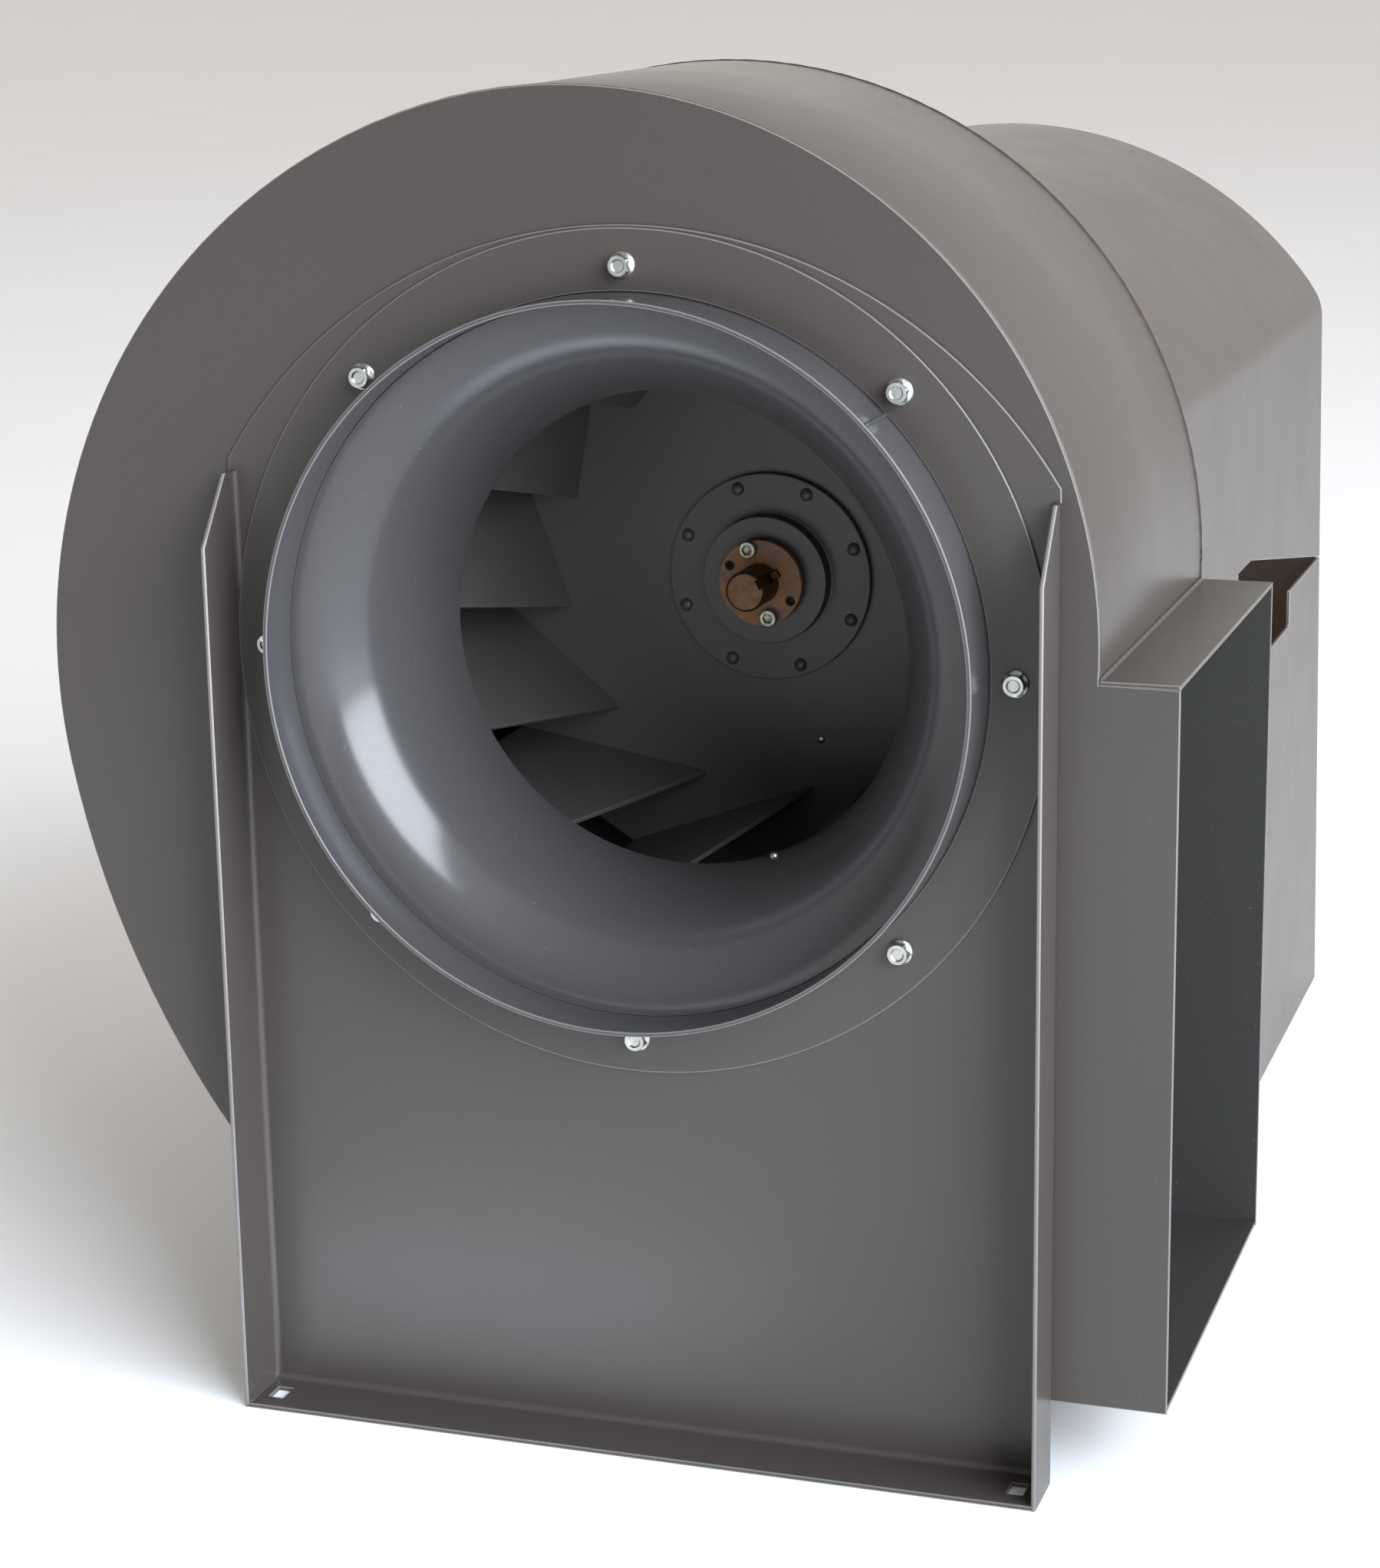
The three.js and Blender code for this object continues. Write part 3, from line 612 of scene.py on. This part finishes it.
def make_throat_bolt():
    """The plated end of a bolt that stands into the bell's throat."""
    across, up = polar(1, THROAT_BOLT_ANGLE)
    seat = (THROAT_RADIUS * across, THROAT_Y - 6 * MM, SHAFT_Z + THROAT_RADIUS * up)
    build = bmesh.new()
    domed(build, seat, (-across, -0.2, -up), 3.6 * MM, 3 * MM, 12)
    complete(piece_from("throat_bolt", build), "ring_bolt_1")


def make_ring_bolts():
    """Flange-head bolts: a dished hexagon head with chamfered corners on a domed flange."""
    sides = 48
    head = hexagon(BOLT_FLATS, sides)
    top = RING_FACE - BOLT_HEAD
    levels = [
        (RING_FACE + 2 * MM, 4 * MM),
        (RING_FACE, 4 * MM),
        (RING_FACE, BOLT_FLANGE),
        (RING_FACE - 0.8 * MM, BOLT_FLANGE),
        (RING_FACE - 1.5 * MM, BOLT_FLANGE - 0.5 * MM),
        (RING_FACE - 2.2 * MM, head),
        (top + 1.3 * MM, head),
        (top, 0.985 * BOLT_FLATS / 2),
        (top, 4.4 * MM),
        (top + 0.9 * MM, 3.4 * MM),
        (top + 0.9 * MM, 0.6 * MM),
    ]
    for i in range(BOLT_COUNT):
        place = polar(BOLT_CIRCLE, 360 * i / BOLT_COUNT, 0, SHAFT_Z)
        screw(f"ring_bolt_{i + 1}", place, levels, sides, BOLT_TURN * i)


# ---- Scroll --------------------------------------------------------------------------------


def scroll_outline(inset):
    """The closed outline of a scroll panel, set in from its full size."""
    edge = scroll_edge(inset)
    floor = (OUTLET_X - inset, OUTLET_FLOOR + inset)
    return edge + [floor, (OUTLET_X - inset, edge[0][1] - inset)]


def make_scroll_panels():
    """The two panels, each with its hole, and with painted shade on its inner face."""
    bell_hole = circle(BELL_HOLE + EDGE, BELL_HOLE_STEPS, 0, SHAFT_Z)
    shaft_hole = circle(SHAFT_HOLE + EDGE, 64, 0, SHAFT_Z)
    panels = [
        ("scroll_front", "scroll_front_panel", bell_hole, 1),
        ("scroll_rear", "scroll_rear_panel", shaft_hole, -1),
    ]
    for name, node, hole, inward in panels:
        low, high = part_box(node)
        panel = plate(name, scroll_outline(EDGE), [hole], low.y, high.y)
        complete(panel, node, standing_for=[node])
        # Its inner face takes the painted shade.
        paint_shade_inside(panel, lambda face: inward * face.normal.y > 0.9)


def make_scroll_wrap():
    """The wrap, let in a little behind the panels' edges, and the seam welds along both."""
    start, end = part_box("scroll_wrap")[0].y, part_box("scroll_wrap")[1].y
    outer = scroll_edge(LET_IN) + [(OUTLET_X - EDGE, OUTLET_FLOOR + LET_IN)]
    inner = scroll_edge(SHEET) + [(OUTLET_X - EDGE, OUTLET_FLOOR + SHEET)]
    wrap = plate("wrap_sheet", outer + inner[::-1], [], start, end, THIN_EDGE)
    complete(wrap, "scroll_wrap", standing_for=["scroll_wrap"])
    middle = Vector((0, 0, SHAFT_Z))
    # The wrap's inner faces take the painted shade.
    paint_shade_inside(wrap, lambda face: face.normal.dot(middle - face.center) > 0)
    seam = scroll_edge(LET_IN, 1.0)
    front = [(x, start + 0.4 * MM, z) for x, z in seam]
    rear = [(x, end - 0.4 * MM, z) for x, z in seam]
    weld("wrap_front_weld", "scroll_wrap", front, 1.0 * MM, 6)
    stained = weld("wrap_rear_weld", "scroll_wrap", rear, 1.2 * MM, 6)
    stained.data.materials[0] = STAINED_WELD


def make_lip():
    """The cut-off lip that closes the top of the outlet, and the weld along its root."""
    root, tip = scroll_edge(0)[0][0] + 1 * MM, OUTLET_X
    low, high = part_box("cutoff_lip")
    outline = [
        (root, low.z + EDGE),
        (tip - EDGE, low.z + EDGE),
        (tip - EDGE, high.z - EDGE),
        (root, high.z - EDGE),
    ]
    lip = plate("lip_sheet", outline, [], low.y, high.y)
    complete(lip, "cutoff_lip", standing_for=["cutoff_lip"])
    # The lip's underside takes the painted shade.
    paint_shade_inside(lip, lambda face: face.normal.z < -0.9)
    level = high.z + 0.2 * MM
    path = straight((root, low.y, level), (root, high.y, level), 80)
    weld("lip_weld", "cutoff_lip", path, 1.7 * MM)


# ---- Wheel ---------------------------------------------------------------------------------


def make_balance_rivet():
    """A bright rivet that holds a balance weight on the backplate's front."""
    x, z = polar(BALANCE_RIVET_CIRCLE, BALANCE_RIVET_ANGLE, 0, SHAFT_Z)
    build = bmesh.new()
    domed(build, (x, WHEEL_LOW.y, z), FORWARD, 3 * MM, 2.2 * MM)
    complete(piece_from("balance_rivet", build), "cap_screw_1")


def make_backplate():
    """The wheel's flat disc, open in the middle for the hub."""
    front, rear = WHEEL_LOW.y, WHEEL_HIGH.y
    corners = [
        (BACKPLATE_BORE, front),
        (WHEEL_RADIUS, front),
        (WHEEL_RADIUS, rear),
        (BACKPLATE_BORE, rear),
    ]
    turned("backplate_disc", "wheel_backplate", corners, standing_for=["wheel_backplate"])


def make_shroud():
    """The wheel's inlet shroud, a quarter ellipse from its eye to the wheel's rim."""
    centre = (WHEEL_RADIUS, SHROUD_LOW.y)
    radial, axial = WHEEL_RADIUS - SHROUD_EYE, SHROUD_HIGH.y - SHROUD_LOW.y
    rear = quarter_ellipse(centre, radial, axial, 180, 90, 30)
    front = quarter_ellipse(centre, radial - SHROUD_THICK, axial - SHROUD_THICK, 90, 180, 30)
    turned("shroud_spinning", "wheel_shroud", rear + front, THIN_EDGE, 224, ["wheel_shroud"])


def make_hub():
    """The hub, its flange held to the backplate by domed rivets."""
    flange_rear = WHEEL_LOW.y - FIT
    corners = [
        (HUB_TAPER[0], HUB_FRONT),
        (HUB_RADIUS, HUB_FRONT),
        (HUB_RADIUS, HUB_FLANGE_FRONT),
        (HUB_FLANGE_RADIUS, HUB_FLANGE_FRONT),
        (HUB_FLANGE_RADIUS, flange_rear),
        (HUB_PILOT_RADIUS, flange_rear),
        (HUB_PILOT_RADIUS, HUB_REAR),
        (HUB_TAPER[1], HUB_REAR),
    ]
    turned("hub_casting", "wheel_hub", corners, 1.3 * MM, 128, ["wheel_hub"])
    build = bmesh.new()
    for i in range(RIVET_COUNT):
        angle = RIVET_FIRST_ANGLE + 360 * i / RIVET_COUNT
        x, z = polar(RIVET_CIRCLE, angle, 0, SHAFT_Z)
        domed(build, (x, HUB_FLANGE_FRONT, z), FORWARD, RIVET_RADIUS, RIVET_HEIGHT)
    complete(piece_from("hub_rivets", build), "wheel_hub")


def keyed_bore():
    """The bushing's bore: a circle round the shaft, with the keyway cut into it."""
    bore = SHAFT_RADIUS + FIT
    half = math.degrees(math.asin(KEYWAY_HALF / bore))
    top = math.degrees(math.atan2(KEYWAY_HALF, KEYWAY_TOP))
    outline = arc(bore, KEY_ANGLE + half, KEY_ANGLE + 360 - half, 60, 0, SHAFT_Z)
    return outline + arc(KEYWAY_REACH, KEY_ANGLE - top, KEY_ANGLE + top, 1, 0, SHAFT_Z)


def make_bushing():
    """The taper bushing: a flange with screw and jack holes, keyed bore, tapered barrel."""
    holes = [keyed_bore()]
    for degrees in (SCREW_ANGLE, SCREW_ANGLE + 180, JACK_ANGLE, JACK_ANGLE + 180):
        x, z = polar(SCREW_CIRCLE, degrees, 0, SHAFT_Z)
        holes.append(circle(FLANGE_HOLE_RADIUS, 24, x, z))
    outline = circle(BUSHING_RADIUS - EDGE, 96, 0, SHAFT_Z)
    flange = plate("bushing_flange", outline, holes, BUSHING_FACE, BUSHING_FLANGE_END)
    complete(flange, "taper_bushing", standing_for=["taper_bushing"])
    barrel = [
        (BARREL_BORE, BUSHING_FLANGE_END),
        (HUB_TAPER[0] - FIT, BUSHING_FLANGE_END),
        (HUB_TAPER[1] - FIT, BUSHING_END),
        (BARREL_BORE, BUSHING_END),
    ]
    turned("bushing_barrel", "taper_bushing", barrel, 0.5 * MM, 96)


def make_cap_screws():
    """Socket-head screws that draw the bushing into the hub."""
    sides = 36
    socket = hexagon(SOCKET_FLATS, sides)
    top = BUSHING_FACE - SCREW_HEAD
    levels = [
        (BUSHING_FACE + 10 * MM, 3.1 * MM),
        (BUSHING_FACE, 3.1 * MM),
        (BUSHING_FACE, 6.3 * MM),
        (top + 0.8 * MM, 6.3 * MM),
        (top, 5.6 * MM),
        (top, [reach + 0.3 * MM for reach in socket]),
        (top + 0.4 * MM, socket),
        (top + 3.6 * MM, socket),
        (top + 4.6 * MM, 0.5 * MM),
    ]
    for i, degrees in enumerate((SCREW_ANGLE, SCREW_ANGLE + 180)):
        place = polar(SCREW_CIRCLE, degrees, 0, SHAFT_Z)
        made = screw(f"cap_screw_{i + 1}", place, levels, sides)
        made.data.materials[0] = AGED_ZINC


# ---- Drive housing -------------------------------------------------------------------------


def hood_section(inset):
    """The hood's section from its right lower edge to its left, with a soft bend at each spring.

    Each point is (x, z), and z is None on a lower edge.
    """
    arch = arch_edge(inset, 60)
    corner = Vector(arch[0])
    ahead = (Vector(arch[3]) - corner).normalized()
    start, end = corner - Vector((0, HOOD_BEND)), corner + ahead * HOOD_BEND
    over = [point for point in arch if abs(point[0]) < end.x - 2 * MM]
    right = [(HALF_WIDTH - inset, None)] + soft_bend(start, corner, end, 6)
    left = [(-x, z) for x, z in reversed(right)]
    return right + over + left


def hood_column(x, z):
    """One fold line along the hood: its front, the start of the slope, and the leaning rear."""
    upper, lower = HOOD_EDGE if z is None else (z, z)
    return [(x, HOOD_FRONT, upper), (x, HOOD_SLOPE_Y, upper), (x, rear_at(lower), lower)]


def make_hood():
    """The arched hood, cut slanting along its lower edge and leaning at its rear."""
    rings = []
    for outer, inner in zip(hood_section(0.0), hood_section(SHEET)):
        rings.append(hood_column(*outer) + hood_column(*inner)[::-1])
    build = bmesh.new()
    tube(build, rings)
    piece = piece_from("hood_sheet", build)
    round_edges(piece, degrees=50)
    complete(piece, "drive_hood", 20, ["drive_hood"])


# ---- Materials -----------------------------------------------------------------------------


def add(tree, kind, inputs=None, **settings):
    """A node of that kind; an input is a value or another node's output."""
    node = tree.nodes.new(kind)
    for key, value in settings.items():
        setattr(node, key, value)
    for key, value in (inputs or {}).items():
        if isinstance(value, bpy.types.NodeSocket):
            tree.links.new(value, node.inputs[key])
        else:
            node.inputs[key].default_value = value
    return node


def start_material(name):
    """A material with its shader, and the object coordinates in metres."""
    material = bpy.data.materials.new(name)
    material.use_nodes = True
    tree = material.node_tree
    place = add(tree, "ShaderNodeTexCoord").outputs["Object"]
    return material, tree, tree.nodes["Principled BSDF"], place


def noise(tree, place, scale, detail=3.0, rough=0.55):
    """Soft noise between 0 and 1, with about scale patches to a metre."""
    inputs = {"Vector": place, "Scale": scale, "Detail": detail, "Roughness": rough}
    return add(tree, "ShaderNodeTexNoise", inputs).outputs["Fac"]


def remap(tree, value, old, new):
    """The value's range old stretched to new, clamped."""
    inputs = {
        "Value": value,
        "From Min": old[0],
        "From Max": old[1],
        "To Min": new[0],
        "To Max": new[1],
    }
    return add(tree, "ShaderNodeMapRange", inputs).outputs["Result"]


def mix(tree, factor, first, second, blend="MIX"):
    """A colour between first and second; a colour is a tuple or an output."""
    node = tree.nodes.new("ShaderNodeMix")
    node.data_type = "RGBA"
    node.blend_type = blend
    for index, value in ((0, factor), (6, first), (7, second)):
        if isinstance(value, bpy.types.NodeSocket):
            tree.links.new(value, node.inputs[index])
        else:
            node.inputs[index].default_value = value
    return node.outputs[2]


def shade(colour, factor=1.0):
    """The colour made lighter or darker by factor, with full alpha."""
    return tuple(min(1.0, channel * factor) for channel in colour) + (1.0,)


def plug(tree, shader, outputs):
    """Links outputs to the shader's inputs, by the inputs' names."""
    for name, output in outputs.items():
        tree.links.new(output, shader.inputs[name])


def bump(tree, shader, *layers):
    """Stacks bump layers of (height, strength, distance) onto the shader."""
    normal = None
    for height, strength, distance in layers:
        inputs = {"Height": height, "Strength": strength, "Distance": distance}
        if normal:
            inputs["Normal"] = normal
        normal = add(tree, "ShaderNodeBump", inputs).outputs["Normal"]
    plug(tree, shader, {"Normal": normal})


DUST = (0.42, 0.41, 0.39)
WHITE = (1.0, 1.0, 1.0)
MOTTLE = 0.93  # the darkest shade of the fine mottle


def enamel(name, colour, roughness=0.34, peel=0.1):
    """Sprayed enamel: broad lighter and darker patches, fine mottle, dust, orange peel."""
    material, tree, shader, place = start_material(name)
    broad = remap(tree, noise(tree, place, scale=3, detail=2), (0.35, 0.65), (0, 1))
    base = mix(tree, broad, shade(colour, 0.97), shade(colour, 1.03))
    fine = remap(tree, noise(tree, place, scale=260, detail=5, rough=0.7), (0.3, 0.7), (0, 1))
    mottled = mix(tree, fine, shade(WHITE, MOTTLE), shade(WHITE))
    painted = mix(tree, 1.0, base, mottled, "MULTIPLY")
    specks = noise(tree, place, scale=640, detail=1, rough=0.4)
    dusty = mix(tree, remap(tree, specks, (0.78, 0.83), (0, 0.35)), painted, shade(DUST))
    uneven = noise(tree, place, scale=14, detail=4, rough=0.6)
    dull = remap(tree, uneven, (0.3, 0.7), (roughness - 0.02, roughness + 0.03))
    plug(tree, shader, {"Base Color": dusty, "Roughness": dull})
    waves = (noise(tree, place, scale=7, detail=1), 0.06, 2 * MM)
    orange_peel = (noise(tree, place, scale=520, detail=2, rough=0.5), peel, 0.12 * MM)
    bump(tree, shader, waves, orange_peel)
    return material


def metal(name, colour, roughness, stain, grain=900):
    """Metal with a slightly stained, uneven polish."""
    material, tree, shader, place = start_material(name)
    patches = noise(tree, place, scale=90, detail=4, rough=0.6)
    stained = remap(tree, patches, (0.4, 0.68), (0, 1))
    base = mix(tree, stained, shade(colour), shade(stain))
    uneven = noise(tree, place, scale=240)
    polish = remap(tree, uneven, (0.3, 0.7), (roughness - 0.07, roughness + 0.1))
    plug(tree, shader, {"Base Color": base, "Roughness": polish})
    shader.inputs["Metallic"].default_value = 1.0
    bump(tree, shader, (noise(tree, place, grain, detail=2), 0.12, 0.1 * MM))
    return material


def iron(name, colour, rust, roughness=0.72):
    """Bare or painted iron with a grainy skin and patches of rust."""
    material, tree, shader, place = start_material(name)
    patches = noise(tree, place, scale=120, detail=6, rough=0.65)
    rusted = remap(tree, patches, (0.42, 0.6), (0, 1))
    base = mix(tree, rusted, shade(colour), shade(rust))
    dull = remap(tree, rusted, (0, 1), (roughness - 0.18, roughness + 0.08))
    plug(tree, shader, {"Base Color": base, "Roughness": dull})
    shader.inputs["Metallic"].default_value = 0.35
    bump(tree, shader, (noise(tree, place, scale=700, detail=5, rough=0.7), 0.35, 0.25 * MM))
    return material


def rubber(name, colour):
    """Matt rubber with a fine woven cover and a grey bloom."""
    material, tree, shader, place = start_material(name)
    bloom = remap(tree, noise(tree, place, scale=60, detail=5), (0.35, 0.7), (0, 1))
    base = mix(tree, bloom, shade(colour), shade(colour, 1.9))
    plug(tree, shader, {"Base Color": base})
    shader.inputs["Roughness"].default_value = 0.8
    bump(tree, shader, (noise(tree, place, scale=1500, detail=2), 0.4, 0.15 * MM))
    return material


FINISH = {
    "enamel": enamel("enamel", (0.0553, 0.0472, 0.0422)),
    "bell_enamel": enamel("bell_enamel", (0.0560, 0.0545, 0.0565), roughness=0.18, peel=0.0),
    "wheel_enamel": enamel("wheel_enamel", (0.066, 0.060, 0.055), roughness=0.38),
    "zinc": metal("zinc", (0.64, 0.66, 0.65), 0.28, (0.46, 0.46, 0.42)),
    "rusty_iron": iron("rusty_iron", (0.18, 0.12, 0.085), (0.38, 0.19, 0.09)),
    "bright_steel": metal("bright_steel", (0.17, 0.105, 0.065), 0.5, (0.12, 0.065, 0.035)),
    "cast_iron": iron("cast_iron", (0.09, 0.10, 0.115), (0.13, 0.11, 0.09), roughness=0.6),
    "motor_enamel": enamel("motor_enamel", (0.045, 0.085, 0.125), roughness=0.38),
    "belt_rubber": rubber("belt_rubber", (0.012, 0.012, 0.013)),
}
# Lighter paint on the rounded edges: partly wear, partly a painted highlight along every cut edge.
EDGE_WEAR_AND_HIGHLIGHT = enamel("edge_wear_and_highlight", (0.15, 0.14, 0.135), roughness=0.36)
WHEEL_EDGE_WEAR_AND_HIGHLIGHT = enamel("wheel_edge_wear_and_highlight", (0.11, 0.105, 0.10), roughness=0.4)
# Painted shade for the faces inside the scroll and under the lip: paint a third as light, and
# rougher.
INSIDE_PAINTED_SHADE = enamel("inside_painted_shade", (0.017, 0.017, 0.015), roughness=0.75)
AGED_ZINC = metal("aged_zinc", (0.42, 0.43, 0.36), 0.42, (0.30, 0.29, 0.22))
STAINED_WELD = iron("stained_weld", (0.03, 0.023, 0.018), (0.06, 0.037, 0.022), roughness=0.85)
EDGE_OF = {"enamel": EDGE_WEAR_AND_HIGHLIGHT, "bell_enamel": EDGE_WEAR_AND_HIGHLIGHT, "wheel_enamel": WHEEL_EDGE_WEAR_AND_HIGHLIGHT}


# ---- Stage ---------------------------------------------------------------------------------

CAMERA_PLACE = (0.7222, -1.9985, 0.9884)
CAMERA_YAW, CAMERA_PITCH, CAMERA_ROLL = 18.90, 14.25, 0.97  # to the left, down, clockwise
CAMERA_LENS, CAMERA_SENSOR = 88.9, 36  # millimetres
FLOOR_REACH = 60
FLOOR_TONES = ((0.80, 0.80, 0.80), (0.84, 0.84, 0.84))
SKY_EVEN = (0.096, 0.096, 0.096)
# Direction, narrowness and colour of each glow.
SKY_GLOWS = [
    ((1, 0, 0.25), 2, (0.90, 0.85, 0.83)),
    ((0, 1, 0.25), 2, (0.59, 0.54, 0.49)),
    ((0, 0, 1), 2, (0.33, 0.32, 0.32)),
    ((1, -1, 0.4), 5, (1.02, 0.99, 0.98)),
    ((-1, 0.7, 0.3), 3, (0.91, 0.89, 0.83)),
]
WINDOW_DIRECTION = (0.80, -0.455, 0.375)
WINDOW_DISTANCE = 8.5
WINDOW_SIZE = (7.8, 6.6)
WINDOW_POWER = 2130
WINDOW_COLOUR = (0.816, 0.893, 1.0)
# Small lamps that point straight down: name, place, size, power, colour and spread. One lights the
# floor in front of the pedestal, the other the inside of the drive housing.
SMALL_LAMPS = [
    ("floor_glow", (-0.2, -0.21, 0.18), (0.4, 0.1), 0.8, (0.7, 0.85, 1.0), 90),
    ("hood_glow", (0, 0.75, 0.67), (0.2, 0.2), 4.5, (1.0, 0.86, 0.74), 180),
]


def make_camera():
    """The camera, aimed by its yaw, pitch and roll."""
    yaw, pitch, roll = (math.radians(turn) for turn in (CAMERA_YAW, CAMERA_PITCH, CAMERA_ROLL))
    flat = Vector((-math.sin(yaw), math.cos(yaw), 0))
    forward = flat * math.cos(pitch) - Vector((0, 0, math.sin(pitch)))
    level = Vector((math.cos(yaw), math.sin(yaw), 0))
    down = forward.cross(level)
    right = math.cos(roll) * level + math.sin(roll) * down
    up = math.sin(roll) * level - math.cos(roll) * down
    data = bpy.data.cameras.new("camera")
    data.sensor_fit = "HORIZONTAL"
    data.sensor_width = CAMERA_SENSOR
    data.lens = CAMERA_LENS
    camera = bpy.data.objects.new("camera", data)
    turn = Matrix((right, up, -forward)).transposed()
    camera.matrix_world = Matrix.Translation(CAMERA_PLACE) @ turn.to_4x4()
    bpy.context.scene.collection.objects.link(camera)
    bpy.context.scene.camera = camera


def make_floor():
    """A wide pale floor, just under the fan's feet."""
    build = bmesh.new()
    corners = [(-FLOOR_REACH, -FLOOR_REACH), (FLOOR_REACH, -FLOOR_REACH)]
    corners += [(FLOOR_REACH, FLOOR_REACH), (-FLOOR_REACH, FLOOR_REACH)]
    build.faces.new([build.verts.new((x, y, -0.2 * MM)) for x, y in corners])
    floor = piece_from("floor", build)
    material, tree, shader, place = start_material("floor")
    dark, pale = FLOOR_TONES
    tone = mix(tree, noise(tree, place, scale=1.5, detail=2), shade(dark), shade(pale))
    plug(tree, shader, {"Base Color": tone})
    shader.inputs["Roughness"].default_value = 0.9
    shader.inputs["Specular IOR Level"].default_value = 0.1
    floor.data.materials.append(material)


def softbox(name, place, target, size, power, colour, spread=180):
    """A rectangular lamp at the place, aimed at the target; power in watts, spread in degrees."""
    data = bpy.data.lights.new(name, "AREA")
    data.shape = "RECTANGLE"
    data.size, data.size_y = size
    data.energy = power
    data.color = colour
    data.spread = math.radians(spread)
    light = bpy.data.objects.new(name, data)
    light.location = place
    light.rotation_euler = (Vector(target) - Vector(place)).to_track_quat("-Z", "Y").to_euler()
    light.visible_camera = False
    bpy.context.scene.collection.objects.link(light)


def make_world():
    """A soft studio sky: a little light from everywhere, and broad glows from some sides."""
    world = bpy.data.worlds.new("world")
    world.use_nodes = True
    bpy.context.scene.world = world
    tree = world.node_tree
    place = add(tree, "ShaderNodeTexCoord").outputs["Generated"]
    total = SKY_EVEN
    for direction, narrowness, colour in SKY_GLOWS:
        facing = {0: place, 1: Vector(direction).normalized()}
        towards = add(tree, "ShaderNodeVectorMath", facing, operation="DOT_PRODUCT")
        inputs = {0: towards.outputs["Value"], 1: 0.0}
        ahead = add(tree, "ShaderNodeMath", inputs, operation="MAXIMUM").outputs[0]
        inputs = {0: ahead, 1: narrowness}
        glow = add(tree, "ShaderNodeMath", inputs, operation="POWER").outputs[0]
        lit = add(tree, "ShaderNodeVectorMath", {0: colour}, operation="SCALE")
        tree.links.new(glow, lit.inputs["Scale"])
        total = add(tree, "ShaderNodeVectorMath", {0: total, 1: lit.outputs[0]}).outputs[0]
    background = tree.nodes["Background"]
    tree.links.new(total, background.inputs["Color"])
    background.inputs["Strength"].default_value = 1.0


def make_lights():
    """The sky, a window's light from the front right, and the small lamps."""
    make_world()
    centre = Vector((0, 0, SHAFT_Z))
    window = centre + WINDOW_DISTANCE * Vector(WINDOW_DIRECTION).normalized()
    softbox("window", window, centre, WINDOW_SIZE, WINDOW_POWER, WINDOW_COLOUR)
    for name, place, size, power, colour, spread in SMALL_LAMPS:
        below = (place[0], place[1], 0)
        softbox(name, place, below, size, power, colour, spread)
    bpy.context.scene.view_settings.view_transform = "Standard"


# ---- Assembly ------------------------------------------------------------------------------

make_camera()
make_floor()
make_lights()

make_pedestal()
make_collar()
make_ring()
make_bell()
make_throat_bolt()
make_ring_bolts()
make_scroll_panels()
make_scroll_wrap()
make_lip()
make_backplate()
make_shroud()
make_hub()
make_bushing()
make_cap_screws()
make_balance_rivet()
make_hood()

for node in sorted(set(SLOT_OF) - stood_for):
    refined(node)
